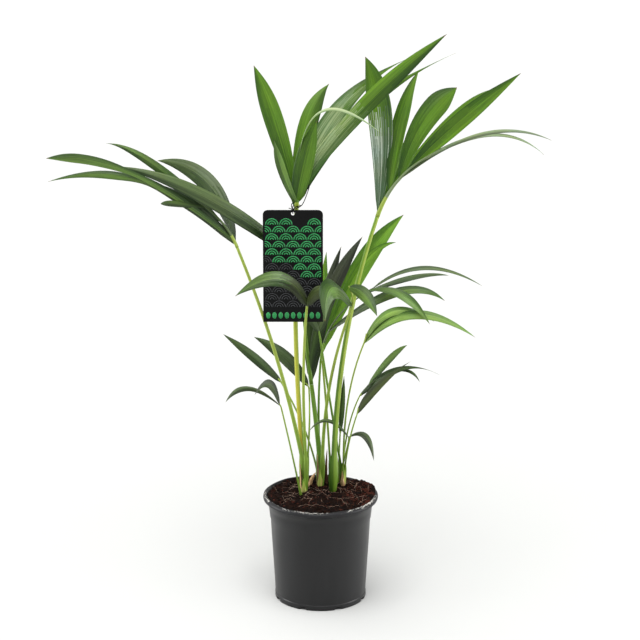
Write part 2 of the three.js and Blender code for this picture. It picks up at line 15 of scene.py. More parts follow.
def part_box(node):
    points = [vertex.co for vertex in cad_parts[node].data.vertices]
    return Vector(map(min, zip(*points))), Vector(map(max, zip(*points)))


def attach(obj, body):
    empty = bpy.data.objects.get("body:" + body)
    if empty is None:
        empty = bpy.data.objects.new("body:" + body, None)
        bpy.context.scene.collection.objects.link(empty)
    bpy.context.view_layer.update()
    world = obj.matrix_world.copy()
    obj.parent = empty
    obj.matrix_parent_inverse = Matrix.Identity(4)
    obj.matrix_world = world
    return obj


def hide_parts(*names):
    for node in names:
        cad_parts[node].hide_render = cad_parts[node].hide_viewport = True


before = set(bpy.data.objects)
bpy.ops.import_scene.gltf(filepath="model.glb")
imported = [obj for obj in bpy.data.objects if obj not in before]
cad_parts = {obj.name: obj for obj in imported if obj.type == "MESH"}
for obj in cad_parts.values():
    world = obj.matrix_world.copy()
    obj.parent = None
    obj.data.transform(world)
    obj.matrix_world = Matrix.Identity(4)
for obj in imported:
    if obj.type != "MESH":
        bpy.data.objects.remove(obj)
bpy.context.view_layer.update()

MM = 0.001
BODY = "root"
BLADE_MAP = "leaf"


# ---- colours

def rgb(code):
    """A hex colour as linear red, green, blue."""
    parts = [int(code[i:i + 2], 16) / 255 for i in (1, 3, 5)]
    return [c / 12.92 if c <= 0.04045 else ((c + 0.055) / 1.055) ** 2.4 for c in parts]


class Nodes:
    """The node tree of a material or a world, with short calls to add and join nodes."""

    def __init__(self, owner, shader="Principled BSDF"):
        owner.use_nodes = True
        self.owner = owner
        self.tree = owner.node_tree
        self.shader = self.tree.nodes[shader]
        self.coords = self.add("ShaderNodeTexCoord")

    def fill(self, socket, value):
        """Joins an output to the socket, or sets a constant on it. A list is a colour."""
        if hasattr(value, "links"):
            self.tree.links.new(value, socket)
        else:
            socket.default_value = [*value, 1] if isinstance(value, list) else value

    def add(self, kind, **values):
        """A new node: each value goes to its input of that name, or else to its setting."""
        node = self.tree.nodes.new(kind)
        for key, value in values.items():
            name = key.replace("_", " ")
            if name in node.inputs:
                self.fill(node.inputs[name], value)
            else:
                setattr(node, key, value)
        return node

    def noise(self, stretch, scale, detail=2.0, rough=0.55, on_blade=False):
        """Noise over the object, or along a blade by its UV map, stretched first."""
        source = self.coords.outputs["Object"]
        if on_blade:
            source = self.add("ShaderNodeUVMap", uv_map=BLADE_MAP).outputs["UV"]
        mapping = self.add("ShaderNodeMapping", Vector=source, Scale=stretch)
        node = self.add("ShaderNodeTexNoise", Vector=mapping.outputs["Vector"], Scale=scale,
                        Detail=detail, Roughness=rough)
        return node.outputs["Fac"]

    def ramp(self, fac, stops):
        """A colour ramp over (place, linear colour) stops."""
        node = self.add("ShaderNodeValToRGB", Fac=fac)
        elements = node.color_ramp.elements
        while len(elements) < len(stops):
            elements.new(0.5)
        for element, (at, colour) in zip(elements, stops):
            element.position = at
            element.color = [*colour, 1]
        return node.outputs["Color"]

    def spread(self, value, low, high, start=0.3, stop=0.7):
        """A value between start and stop, spread over low to high and held there."""
        node = self.add("ShaderNodeMapRange", Value=value, From_Min=start, From_Max=stop,
                        To_Min=low, To_Max=high)
        return node.outputs["Result"]

    def mix(self, share, one, two):
        """One colour, with a share of the other."""
        node = self.add("ShaderNodeMix", data_type="RGBA")
        for index, value in ((0, share), (6, one), (7, two)):
            self.fill(node.inputs[index], value)
        return node.outputs[2]

    def bump(self, height, distance, strength):
        node = self.add("ShaderNodeBump", Height=height, Distance=distance, Strength=strength)
        return node.outputs["Normal"]

    def shade(self, **values):
        for key, value in values.items():
            self.fill(self.shader.inputs[key.replace("_", " ")], value)
        return self.owner


def times(colour, share):
    return [c * share for c in colour]


def leaf_material(name, colour, gloss, sheen):
    """A blade's skin: parallel veins along it, a mottle, and a waxy gloss."""
    n = Nodes(bpy.data.materials.new(name))
    veins = n.noise((0.012, 1.3, 1), 1.0, 4.0, 0.7, on_blade=True)
    mottle = n.noise((1, 1, 1), 22.0)
    pale = [min(1.0, c * 1.5 + 0.006) for c in colour]
    streaked = n.ramp(veins, [(0.3, times(colour, 0.66)), (0.5, colour), (0.72, pale)])
    red, green, blue = colour
    tinted = n.mix(n.spread(mottle, 0.0, 0.5), streaked, [red * 1.3, green * 1.02, blue * 0.7])
    fine = n.noise((0.02, 2.6, 1), 1.0, 2.0, 0.5, on_blade=True)
    return n.shade(Base_Color=tinted, Roughness=n.spread(mottle, gloss - 0.05, gloss + 0.07),
                   Specular_IOR_Level=sheen, Normal=n.bump(fine, 0.0003, 0.6))


def stalk_material(name, low, high, *stops):
    """A petiole's skin: its colour goes by height, unevenly, from low to high in
    millimetres, with fine lines along it."""
    n = Nodes(bpy.data.materials.new(name))
    height = n.add("ShaderNodeSeparateXYZ", Vector=n.coords.outputs["Object"]).outputs["Z"]
    wander = n.noise((1, 1, 0.25), 60.0, 3.0)
    uneven = 0.24
    rise = n.spread(height, -uneven / 2, 1 - uneven / 2, low * MM, high * MM)
    shifted = n.add("ShaderNodeMath", operation="MULTIPLY_ADD")
    for index, value in enumerate((wander, uneven, rise)):
        n.fill(shifted.inputs[index], value)
    colours = [(at, rgb(code)) for at, code in stops]
    lines = n.noise((1, 1, 0.02), 700.0)
    dark = times(colours[-1][1], 0.55)
    lined = n.mix(n.spread(lines, 0.0, 0.35), n.ramp(shifted.outputs[0], colours), dark)
    return n.shade(Base_Color=lined, Roughness=n.spread(wander, 0.36, 0.52),
                   Specular_IOR_Level=0.28, Normal=n.bump(lines, 0.0002, 0.6))


def dry_material(name, code, pale):
    """Papery dead sheath: fibres along it and a dull face."""
    n = Nodes(bpy.data.materials.new(name))
    colour = rgb(code)
    fibres = n.noise((1, 1, 0.04), 900.0, 3.0, 0.7)
    patches = n.noise((1, 1, 0.3), 90.0, 3.0)
    striped = n.ramp(fibres, [(0.32, times(colour, 0.5)), (0.5, colour), (0.68, rgb(pale))])
    blotched = n.mix(n.spread(patches, 0.0, 0.55), striped, times(colour, 0.7))
    return n.shade(Base_Color=blotched, Roughness=0.8, Specular_IOR_Level=0.2,
                   Normal=n.bump(fibres, 0.0005, 0.8))


def grain_material(name, code, rough):
    """Compost, crumbs and fibres: one colour, broken up by a fine grain."""
    n = Nodes(bpy.data.materials.new(name))
    colour = rgb(code)
    grain = n.noise((1, 1, 1), 900.0, 4.0, 0.7)
    patches = n.noise((1, 1, 1), 100.0)
    dusty = n.ramp(grain, [(0.3, times(colour, 0.4)), (0.5, colour), (0.72, times(colour, 1.8))])
    damp = n.mix(n.spread(patches, 0.0, 0.6), dusty, times(colour, 0.5))
    return n.shade(Base_Color=damp, Roughness=rough, Specular_IOR_Level=0.08,
                   Normal=n.bump(grain, 0.0004, 0.9))


def plastic_material(name, code, gloss, sheen, speck=0.0, pale="#ffffff"):
    """Moulded plastic: a faint flow along it, specks of pale dust, and a soft uneven gloss."""
    n = Nodes(bpy.data.materials.new(name))
    colour = rgb(code)
    flow = n.noise((1, 1, 0.12), 45.0, 3.0)
    dust = n.noise((1, 1, 1), 420.0, 4.0, 0.75)
    base = n.ramp(flow, [(0.3, times(colour, 0.86)), (0.7, times(colour, 1.12))])
    dusted = n.mix(n.ramp(dust, [(0.6, [0, 0, 0]), (0.75, [speck] * 3)]), base, rgb(pale))
    return n.shade(Base_Color=dusted, Roughness=n.spread(flow, gloss - 0.04, gloss + 0.08),
                   Specular_IOR_Level=sheen, Normal=n.bump(dust, 0.00008, 0.35))


# Each tone of leaf runs in steps from deep to light. Then come its gloss and its sheen.
LEAF_TONES = {
    "bright": ("#1a3a09", "#57821c", 0.34, 0.24),
    "lime": ("#2c560c", "#72a22e", 0.4, 0.24),
    "fresh": ("#30561a", "#80a450", 0.38, 0.28),
    "sage": ("#223c10", "#5f8238", 0.34, 0.32),
    "pale": ("#4c6a34", "#b4c89c", 0.4, 0.4),
    "grey": ("#182d0e", "#566d40", 0.34, 0.34),
    "whisker": ("#38482e", "#7c946c", 0.4, 0.4),
    "olive": ("#121d08", "#4a5e38", 0.4, 0.34),
    "dark": ("#0f2006", "#3a5420", 0.36, 0.26),
    "dusk": ("#0d120a", "#434c3c", 0.4, 0.34),
    "bronze": ("#1e280e", "#4c5c30", 0.5, 0.28),
    # green_with_painted_sheen runs from the leaf's deep green to a whitish painted sheen.
    "green_with_painted_sheen": ("#1f4416", "#b9ccc2", 0.3, 0.45),
    "striped": ("#355c1c", "#a3b88e", 0.36, 0.3),
}
# The share of the light colour in a step goes by this power: a steep tone keeps it for its pale streaks,
# which on green_with_painted_sheen are a painted sheen.
TONE_CURVE = 1.15
TONE_CURVES = {"green_with_painted_sheen": 3.0, "striped": 2.2}
LEAF_LEVELS = 8
LEAF_SLOTS = {"lime": "frond_bright", "fresh": "frond_bright"}

# Petioles and sheaths: the height where the colours start and stop, and the colours at shares
# of the way between.
STALKS = {
    "petiole": (180, 480, (0.0, "#50711b"), (0.35, "#75912e"), (0.75, "#8c9f3f")),
    "petiole_deep": (180, 620, (0.0, "#3a5a10"), (0.4, "#4b6e16"), (0.9, "#6c9028")),
    "petiole_cream": (190, 560, (0.0, "#8a9336"), (0.2, "#bcae40"), (0.5, "#b2b23c"),
                      (0.9, "#8ca032")),
    "petiole_dark": (180, 480, (0.0, "#446a18"), (0.5, "#5a7f20"), (1.0, "#6c8c2c")),
    "sheath": (175, 260, (0.0, "#567518"), (0.5, "#60841a"), (1.0, "#709224")),
    "sheath_deep": (175, 260, (0.0, "#2c490c"), (0.5, "#355810"), (1.0, "#456a18")),
    "sheath_foot": (172, 215, (0.0, "#c2b878"), (0.35, "#aab45a"), (1.0, "#86a03c")),
}
# Dead sheath: the colour, and the pale of its fibres.
DRY_SHEATHS = {"dry": ("#5c3d30", "#8f6f58"), "dry_pale": ("#b8926a", "#e2c89c")}
# Compost, husk and dust: the colour and the roughness.
GRAINS = {
    "soil": ("#1d0f09", 0.95),
    "crumb_dark": ("#120a08", 0.95),
    "crumb_red": ("#402018", 0.9),
    "fibre_brown": ("#5c3a28", 0.8),
    "fibre_pale": ("#bca08e", 0.75),
    "scuff": ("#d8d5ce", 0.8),
}
# The colour, the gloss and the sheen, then how strong its dust is and the dust's colour.
PLASTICS = {
    "pot": ("#1a1a1b", 0.36, 0.3, 0.03, "#6a6a6a"),
    "rim": ("#1d1d1f", 0.42, 0.2, 0.3, "#9a9893"),
    "card": ("#0b0c0c", 0.35, 0.1),
    "card_green": ("#2a8449", 0.36, 0.2),
    "card_grey": ("#3f4143", 0.36, 0.2),
    "elastic": ("#0c0c0d", 0.6, 0.1),
}

MATERIALS = {"leaf_tip": leaf_material("leaf_tip", rgb("#5c5238"), 0.6, 0.2)}
KINDS = ((stalk_material, STALKS), (dry_material, DRY_SHEATHS), (grain_material, GRAINS),
         (plastic_material, PLASTICS))
for make, kind in KINDS:
    for name, values in kind.items():
        MATERIALS[name] = make(name, *values)


def leaf_tone(tone, level):
    """The name of the material of one step of a tone, made when first asked for."""
    key = f"leaf_{tone}_{level}"
    if key not in MATERIALS:
        deep, light, gloss, sheen = LEAF_TONES[tone]
        share = (level / (LEAF_LEVELS - 1)) ** TONE_CURVES.get(tone, TONE_CURVE)
        colour = [a + (b - a) * share for a, b in zip(rgb(deep), rgb(light))]
        MATERIALS[key] = leaf_material(key, colour, gloss, sheen)
    return key


# ---- skins and curves

# How wide the channel along a rod is, as an angle round the rod.
GROOVE_ANGLE = 0.6


def put(name, data):
    """A new object in the scene."""
    thing = bpy.data.objects.new(name, data)
    bpy.context.scene.collection.objects.link(thing)
    return thing


def unit(v):
    return v / np.linalg.norm(v, axis=-1, keepdims=True)


def square_to(direction, along):
    """The part of each direction that is square to along, as unit vectors."""
    direction = np.broadcast_to(direction, along.shape)
    return unit(direction - along * (direction * along).sum(-1, keepdims=True))


def arch(start, middle, end):
    """Control points of the curve that passes through middle half way."""
    start, middle, end = (np.array(p, float) for p in (start, middle, end))
    return start, 2 * middle - (start + end) / 2, end


def points_on(curve, t):
    a, b, c = curve
    t = np.asarray(t, float)[:, None]
    return (1 - t) ** 2 * a + 2 * t * (1 - t) * b + t ** 2 * c


def slopes_on(curve, t):
    a, b, c = curve
    t = np.asarray(t, float)[:, None]
    return unit(2 * (1 - t) * (b - a) + 2 * t * (c - b))


def smooth_line(points, steps):
    """A Catmull-Rom line through points, with steps between each pair."""
    p = np.array([points[0], *points, points[-1]], float)
    u = np.arange(steps)[:, None] / steps
    parts = [0.5 * (2 * b + (c - a) * u + (2 * a - 5 * b + 4 * c - d) * u ** 2
                    + (3 * b - a - 3 * c + d) * u ** 3)
             for a, b, c, d in zip(p, p[1:], p[2:], p[3:])]
    return np.concatenate([*parts, p[-2:-1]])


def carried(vector, start, slopes):
    """A vector square to start, carried to each slope by the shortest turn, with no twist."""
    axis = np.cross(start, slopes)
    once = np.cross(axis, vector)
    return vector + once + np.cross(axis, once) / (1 + slopes @ start)[:, None]


def stacked(*parts):
    """Coordinates brought to one shape and stacked as points."""
    return np.stack(np.broadcast_arrays(*parts), -1)


def full_turn(count):
    """Angles round a full turn, evenly spaced."""
    return 2 * math.pi * np.arange(count) / count


def lengths_along(line):
    """How far along a line each of its points is."""
    steps = np.linalg.norm(np.diff(line, axis=0), axis=1)
    return np.concatenate([[0], np.cumsum(steps)])


def hump(value, centre, width):
    """1 at the centre, falling smoothly on both sides, to little past width."""
    return np.exp(-(((value - centre) / width) ** 2))


class Skin:
    """Closed lofts over rings of points, gathered into one mesh with a material a face."""

    def __init__(self, name):
        self.name = name
        self.points, self.uvs = [], []
        self.faces, self.tones = [], []
        self.materials = []
        self.count = 0

    def tone(self, material):
        """The index of a material, by its name."""
        if material not in self.materials:
            self.materials.append(material)
        return self.materials.index(material)

    def named(self, *materials):
        return [self.tone(material) for material in materials]

    def loft(self, rings, tones, uvs=None):
        """rings is stations by points by 3, tones is a material index or an array of them."""
        stations, count = rings.shape[:2]
        start = self.count
        self.points.append(rings.reshape(-1, 3))
        self.uvs.append(np.zeros((stations * count, 2)) if uvs is None else uvs.reshape(-1, 2))
        self.count += stations * count
        here = start + np.arange(stations - 1)[:, None] * count
        j = np.arange(count)[None, :]
        k = (j + 1) % count
        quads = np.stack([here + j, here + k, here + count + k, here + count + j], -1)
        self.faces.append(quads.reshape(-1, 4))
        shades = np.broadcast_to(np.asarray(tones), (stations - 1, count)).reshape(-1)
        self.tones.append(shades)
        for ring, order in ((0, -1), (stations - 1, 1)):
            face = (start + ring * count + np.arange(count))[::order]
            self.faces.append(face[None, :])
            self.tones.append(shades[:1] if ring == 0 else shades[-1:])

    def build(self, slot, *nodes):
        """The finished piece, riding on the body in place of any CAD nodes named."""
        mesh = bpy.data.meshes.new(self.name)
        faces = [face for block in self.faces for face in block.tolist()]
        mesh.from_pydata(np.concatenate(self.points) * MM, [], faces)
        mesh.polygons.foreach_set("material_index", np.concatenate(self.tones).astype(np.int32))
        corners = np.concatenate([block.ravel() for block in self.faces])
        layer = mesh.uv_layers.new(name=BLADE_MAP)
        uvs = np.concatenate(self.uvs)[corners]
        layer.uv.foreach_set("vector", uvs.astype(np.float32).ravel())
        for material in self.materials:
            mesh.materials.append(MATERIALS[material])
        mesh.shade_smooth()
        mesh.update()
        mesh.validate()
        piece = put(self.name, mesh)
        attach(piece, BODY)
        if nodes:
            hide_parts(*nodes)


def rod(skin, centres, radii, tone, sides, facing, flat=1.0, groove=0.0):
    """A tapering rod along centres. flat is its depth as a share of its width, and groove
    the depth of the channel along the side that looks to facing."""
    centres = np.asarray(centres, float)
    radii = np.broadcast_to(np.asarray(radii, float), (len(centres),))
    along = unit(np.gradient(centres, axis=0))
    up = square_to(np.array(facing, float), along)
    across = np.cross(up, along)
    angle = full_turn(sides)
    side, depth = np.cos(angle), np.sin(angle) * flat
    channel = 1 - groove * hump(angle, math.pi / 2, GROOVE_ANGLE)
    section = across[:, None] * side[:, None] + up[:, None] * depth[:, None]
    rings = centres[:, None] + radii[:, None, None] * channel[:, None] * section
    uvs = stacked(lengths_along(centres)[:, None], (angle * radii.mean())[None, :])
    skin.loft(rings, tone, uvs)


# ---- the palm's own plan

POT_HEIGHT = 178
POT_RIM_RADIUS = 95
POT_WALL = 2.2
POT_FOOT_RADIUS = 75
POT_FOOT_HEIGHT = 9
POT_COLLAR_RADIUS = 84.5
POT_COLLAR_HEIGHT = 30
POT_COLLAR_FLARE = 2.5
POT_RIM_ROLL = 9
DRAIN_SLOTS = 8
DRAIN_WIDTH = 12
DRAIN_HEIGHT = 5
DRAIN_RECESS = 3

SOIL_EDGE_HEIGHT = 171
SOIL_MOUND_HEIGHT = 179
SOIL_RADIUS = 84
# How far the mound lies under its top, at distances from its middle.
MOUND_RADII = (20, 42, 58, SOIL_RADIUS)
MOUND_DROPS = (0, 0.5, 1.5, 3)

STEM_SEAT = 8
STEM_SOCKET = 14
SEAT_HEIGHT = SOIL_MOUND_HEIGHT - STEM_SEAT
PALM_MIDDLE_Y = 30
STEMS = {
    "left": {"foot": (-27, 10.5), "width": 16, "depth": 29, "top": 256},
    "middle": {"foot": (-1, 36), "width": 13, "depth": 27, "top": 250},
    "right": {"foot": (20, 12), "width": 16, "depth": 17, "top": 256},
    "small": {"foot": (37, 40), "width": 13, "depth": 22, "top": 228},
}

GAP = 0.3
RACHIS_TIP_RADIUS = 1.2
RACHIS_TURN = 0.25
RACHIS_STATIONS = 24
RACHIS_SIDES = 14
PETIOLE_STATIONS = 60
PETIOLE_SIDES = 18
SHEATH_STATIONS = 26
SHEATH_THICKNESS = 0.7
DRY_THICKNESS = 0.5
LEAF_ROOT_WIDTH = 0.35
LEAF_TIP_WIDTH = 0.012
LEAF_FOLD = 0.22
LEAF_THICKNESS = 0.5
LEAF_STATIONS = 60
PLEAT_COLUMNS = 4
PLEAT_DEPTH = 0.06
LEAF_WAVE = 0.05
RIB_SHARE = 0.03
MARGIN_SHARE = 0.94
TIP_START = 0.985
WAIST_LENGTH = 0.13
ROOT_TAPER = 0.07


def leaf(at, over, tip, width, face=(0, -1, 0.35), widest=0.42, base=LEAF_ROOT_WIDTH, **looks):
    """One leaflet: its root's place on the rachis, the point half way along it, its tip and
    its width. looks may give how fast it tapers (tail), how far it narrows half way (waist),
    tone, ribs a side, another tone before or after its turn (near, far), where along it that
    turn is, how pale it is (light), which half is painted lighter as the lit one (side), a
    painted highlight near the margin of that half (edge), and pale streaks over its near half
    (stripes): painted sheen on green_with_painted_sheen, pale pinstripes on striped."""
    return {"at": at, "over": over, "tip": tip, "width": width, "face": face,
            "widest": widest, "base": base, **looks}


def frond(name, stem, tone, radius, foot, bow, top, end, leaves,
          stalk=("petiole", "petiole"), rachis=None):
    """One frond. radius is its petiole's at its foot and its top. The petiole goes from foot
    through bow to top, and the rachis on to end. stalk names the materials of the petiole's
    outer and inner side, and rachis the leaf tone of a rachis that isn't its petiole's."""
    return {"name": name, "stem": stem, "tone": tone, "radius": radius, "foot": foot, "bow": bow,
            "top": top, "end": end, "leaves": leaves, "stalk": stalk, "rachis": rachis}


FLAT_UP = (0, -0.5, 1)
FORWARD_UP = (0, -0.7, 0.8)
BACK_UP = (0, 0.5, 1)
DEEP = ("petiole_dark", "petiole_dark")
PINSTRIPED = {"near": "striped", "turn": 0.62, "ribs": 3, "stripes": 0.3}

FRONDS = [
    frond("left_high", "left", "grey", (4, 2.8),
          (-31, 10), (-74, 8, 420), (-133, 2, 596), (-199, -4, 676), [
        leaf(0.12, (-292, -30, 724), (-429, -55, 756), 15, widest=0.8, waist=0.4, tone="sage",
             edge=1, light=-0.22),
        leaf(0.05, (-278, -5, 705), (-434, 15, 701), 20, widest=0.35, waist=0.6, base=0.5, tail=1.1,
             tone="grey", far="sage", light=-0.2),
        leaf(0.45, (-268, 8, 733), (-341, 25, 761), 15, widest=0.35, tail=1.5, tone="sage", light=-0.26),
        leaf(0.08, (-184, 85, 683), (-264, 95, 716), 30, widest=0.5, base=0.2, near="dark",
             turn=0.35, light=-0.08),
        leaf(0.8, (-230, -24, 675), (-252, -38, 678), 10, widest=0.5, tone="dark"),
    ], rachis="grey"),
    frond("centre_high", "left", "bright", (4.4, 3.9),
          (-30, 20.5), (-40, 17, 455), (-38, 14, 661), (-37, 18, 690), [
        leaf(0.3, (-71, 36, 787), (-106, 60, 880), 31, base=0.25, widest=0.55, ribs=3),
        leaf(0.1, (-59, 2, 717), (-73, -4, 772), 14, base=0.5, widest=0.6, tone="sage", edge=1),
        leaf(0.3, (-21, 50, 783), (14, 85, 845), 30, base=0.5, widest=0.5, tail=1.2, ribs=3),
        leaf(0.45, (28, 60, 806), (143, 105, 883), 30, base=0.5, widest=0.4, tail=2.2, **PINSTRIPED),
        leaf(0.6, (56, 25, 807), (214, 50, 902), 22, base=0.4, widest=0.4, tail=2.5, **PINSTRIPED),
        leaf(0.7, (58, -14, 818), (195, -50, 952), 27, base=0.3, widest=0.6, near="striped",
             turn=0.45, ribs=4, stripes=0.2, light=-0.1, edge=1),
        leaf(0.25, (-24, -4, 744), (-6, -8, 805), 30, base=0.6, ribs=3),
        leaf(0.9, (-4, -30, 823), (95, -80, 801), 9, face=FLAT_UP, tone="pale"),
    ], stalk=("petiole_cream", "petiole"), rachis="bright"),
    frond("right_high", "right", "bright", (5.8, 3.6),
          (22, 12), (43, 19, 450), (91, 27.6, 640), (197, -15, 763), [
        # The near half of this leaflet is streaked with painted sheen.
        leaf(0.02, (96, 50, 792), (71, 60, 894), 39, widest=0.55, base=0.15, near="green_with_painted_sheen",
             turn=0.5, ribs=4, stripes=0.32),
        leaf(0.27, (127, 60, 788), (157, 90, 865), 24, base=0.3),
        leaf(0.45, (163, 48, 789), (218, 70, 842), 37, widest=0.7, base=0.25, ribs=3),
        leaf(0.6, (216, 22, 794), (315, 10, 878), 27, base=0.3, widest=0.5, side=-1, edge=1.6),
        leaf(0.45, (250, -22, 787), (360, -60, 786), 10, base=0.8, face=FLAT_UP, tone="whisker"),
        leaf(0.6, (261, -5, 782), (355, 20, 744), 9, base=0.8, face=FLAT_UP, tone="whisker"),
    ], stalk=("petiole", "petiole_deep"), rachis="whisker"),
    frond("centre_dark", "middle", "dark", (4.4, 3.5),
          (-2, 37), (-8, 45, 292), (-15, 58, 347), (-33, 62, 555), [
        leaf(1, (-191, -16, 688), (-333, -6, 732), 24, widest=0.35, tail=1.3, tone="grey", edge=1,
             light=-0.12),
        leaf(0.05, (-16, 75, 418), (-25, 90, 500), 22, base=0.4),
        leaf(0.02, (6, 88, 470), (34, 102, 570), 22, base=0.4, near="dark", far="dusk"),
        leaf(0.08, (12, 68, 487), (68, 64, 597), 22, base=0.4, widest=0.6, near="dark", far="dusk",
             turn=0.4),
        leaf(0.6, (-42, 95, 545), (-25, 112, 600), 22),
    ], stalk=("petiole_deep", "petiole_dark")),
    frond("right_arching", "middle", "dark", (2, 1.8),
          (-2, 47), (-3, 51, 312), (0, 56, 386), (85, 40, 517), [
        leaf(1, (169, 50, 549), (262, 35, 522), 10, face=FLAT_UP, tone="grey"),
        leaf(0.9, (151, 75, 526), (210, 90, 524), 12, face=FLAT_UP, tone="grey"),
        leaf(0.35, (123, 20, 517), (200, 5, 506), 18, face=FORWARD_UP, base=0.3, near="grey",
             far="sage", turn=0.4, light=-0.14),
        leaf(0.97, (130, -20, 525), (174, -55, 485), 20, face=(0.3, -0.7, 0.8), tone="sage"),
    ], stalk=DEEP, rachis="grey"),
    frond("centre_bright", None, "lime", (1.9, 1.8),
          (18, 44), (12, 58, 275), (3, 85, 380), (5, 90, 402), [
        leaf(0.8, (66, 118, 530), (137, 150, 611), 32, widest=0.5, base=0.3, ribs=3),
        leaf(0.5, (62, 113, 525), (124, 120, 572), 16),
        leaf(0.6, (4, 128, 470), (10, 168, 543), 17),
    ]),
    frond("centre_folded", "small", "grey", (2, 1.7),
          (33, 46.5), (16, 46, 320), (0, 50, 426), (-4, 51, 446), [
        leaf(0.6, (-27, 38, 484), (-53, 32, 524), 15, base=0.4),
        leaf(0.7, (9, 53, 466), (22, 50, 505), 12, base=0.4),
    ], stalk=DEEP),
    frond("right_bright", "small", "fresh", (1.8, 1.5),
          (38, 39.5), (45, 19, 333), (69, -8, 436), (74, -12, 456), [
        leaf(0.5, (118, -18, 496), (182, -30, 482), 15, base=0.45, face=(0, -0.8, 0.8)),
        leaf(0.15, (149, -36, 496), (246, -64, 466), 17, base=0.45, face=(0, -0.8, 0.8)),
    ]),
    frond("right_low", "small", "dark", (1.5, 1.3),
          (37.5, 44.5), (46, 28, 282), (62, -8, 346), (103, -12, 388), [
        leaf(0.05, (126, -30, 402), (191, -52, 399), 15, widest=0.22, tail=3, base=0.3,
             face=FORWARD_UP, light=-0.2),
        leaf(0.55, (114, 10, 408), (141, 25, 425), 11, base=0.5, tone="sage"),
        leaf(1, (138, -30, 400), (159, -52, 387), 6, face=FORWARD_UP),
    ], rachis="olive"),
    frond("right_lower", "small", "dark", (1.5, 1.3),
          (41, 35.5), (47, -4, 270), (58, -38, 325), (61, -42, 340), [
        leaf(0.3, (92, -58, 382), (144, -75, 430), 13, widest=0.35, tail=1.5, tone="bronze", light=-0.1),
    ]),
    frond("front_low", "small", "dark", (1.4, 1.2),
          (37, 33), (41, 27, 236), (46, 22, 261), (46, 21, 269), [
        leaf(0.8, (12, 22, 296), (-19, 6, 283), 6, tone="grey"),
        leaf(0.9, (73, 5, 276), (87, -15, 240), 12, face=(0.4, -0.8, 0.5), tone="olive", light=-0.1),
    ]),
    frond("left_low", None, "dark", (1.6, 1.3),
          (-30.5, -9.5), (-48, -28, 265), (-63, -58, 346), (-66, -62, 354), [
        leaf(0.4, (-114, -85, 388), (-150, -120, 376), 12, face=(-0.2, -0.7, 1), widest=0.45,
             tone="olive"),
        leaf(0.9, (-81, -85, 395), (-104, -115, 387), 14, tone="olive", light=-0.15),
    ]),
    frond("back_left", None, "dark", (1.7, 1.5),
          (-1, 54), (-22, 62, 255), (-61, 85, 335), (-70, 92, 346), [
        leaf(0.5, (-112, 122, 374), (-163, 150, 405), 16),
    ]),
    frond("back_inner", "left", "dark", (1.7, 1.4),
          (-20.5, 12), (-18, 33, 296), (-19, 66, 336), (-25, 72, 345), [
        leaf(0.5, (-61, 110, 379), (-111, 140, 403), 22),
    ]),
    frond("front_left", "left", "grey", (2.6, 2),
          (-24, 0.5), (-27.5, -13, 378), (-22, -30, 503), (-19, -36, 525), [
        leaf(0.35, (-65, -72, 565), (-133, -120, 551), 24, base=0.7, widest=0.5, near="bronze",
             far="sage", turn=0.4, light=-0.24),
        leaf(0.3, (-2, -48, 537), (21, -52, 529), 20, base=0.6, tone="bronze"),
    ], rachis="bronze"),
    frond("front_right", "middle", "grey", (3, 2.2),
          (3.5, 27), (17, 22, 368), (50, -30, 506), (45, -40, 544), [
        leaf(0.1, (18, -66, 548), (7, -108, 506), 36, base=0.5, tone="sage", ribs=3, light=-0.24),
        leaf(0.95, (70, -62, 536), (89, -92, 510), 21, base=0.5, tone="sage", light=-0.1),
    ]),
    frond("spear", None, "dark", (1.5, 1.3),
          (29, 54), (30.5, 55, 210), (32, 56, 251), (33, 58, 266), [
        leaf(0.6, (36, 66, 308), (39, 76, 356), 9),
    ]),
    frond("back_right", None, "bright", (2.4, 2),
          (22, 56), (36, 68, 385), (60, 92, 517), (100, 165, 632), [
        leaf(0.9, (100, 190, 745), (80, 215, 827), 28, ribs=3),
        leaf(0.95, (131, 225, 728), (156, 255, 801), 17),
        leaf(1, (171, 215, 753), (215, 235, 796), 24),
        leaf(0.97, (209, 190, 755), (295, 200, 813), 17, base=0.2, widest=0.6),
    ]),
    frond("back_centre", None, "bright", (2.4, 2),
          (-27, 46), (-37, 72, 341), (-40, 110, 431), (-40, 150, 628), [
        leaf(0.95, (-67, 175, 745), (-93, 195, 808), 20),
        leaf(0.98, (-22, 200, 746), (3, 225, 789), 17),
        leaf(1, (48, 165, 766), (132, 150, 837), 18),
        leaf(0.3, (-68, 200, 485), (-89, 245, 454), 18, face=BACK_UP),
        leaf(0.4, (-21, 205, 501), (-6, 255, 460), 18, face=BACK_UP),
        leaf(0.6, (-76, 190, 557), (-91, 225, 579), 16, face=BACK_UP),
    ]),
]


# ---- fronds and petioles

def petiole_curve(f):
    """From the socket in its clump, or from the compost, by its bow to its top."""
    base = STEMS[f["stem"]]["top"] - STEM_SOCKET if f["stem"] else SEAT_HEIGHT
    return arch((*f["foot"], base), f["bow"], f["top"])


def rachis_curve(f):
    """The rachis runs on from the petiole's top the same way and bends to its own end."""
    along = slopes_on(petiole_curve(f), [1])[0]
    start = f["top"] + along * GAP
    return start, start + along * np.linalg.norm(f["end"] - start) / 2, f["end"]


def width_share(t, leaf):
    """A leaflet's width along it, as a share of its widest: a narrow root, a long taper."""
    base, widest = leaf["base"], leaf["widest"]
    rising = base + (1 - base) * np.sin(math.pi / 2 * np.minimum(t / widest, 1))
    past = np.clip((t - widest) / (1 - widest), 0, 1)
    taper = np.maximum(np.cos(math.pi / 2 * past ** 1.15), 0) ** leaf.get("tail", 1)
    falling = LEAF_TIP_WIDTH + (1 - LEAF_TIP_WIDTH) * taper
    narrowed = 1 - leaf.get("waist", 0) * hump(t, 0.5, WAIST_LENGTH)
    return narrowed * np.where(t < widest, rising, falling)


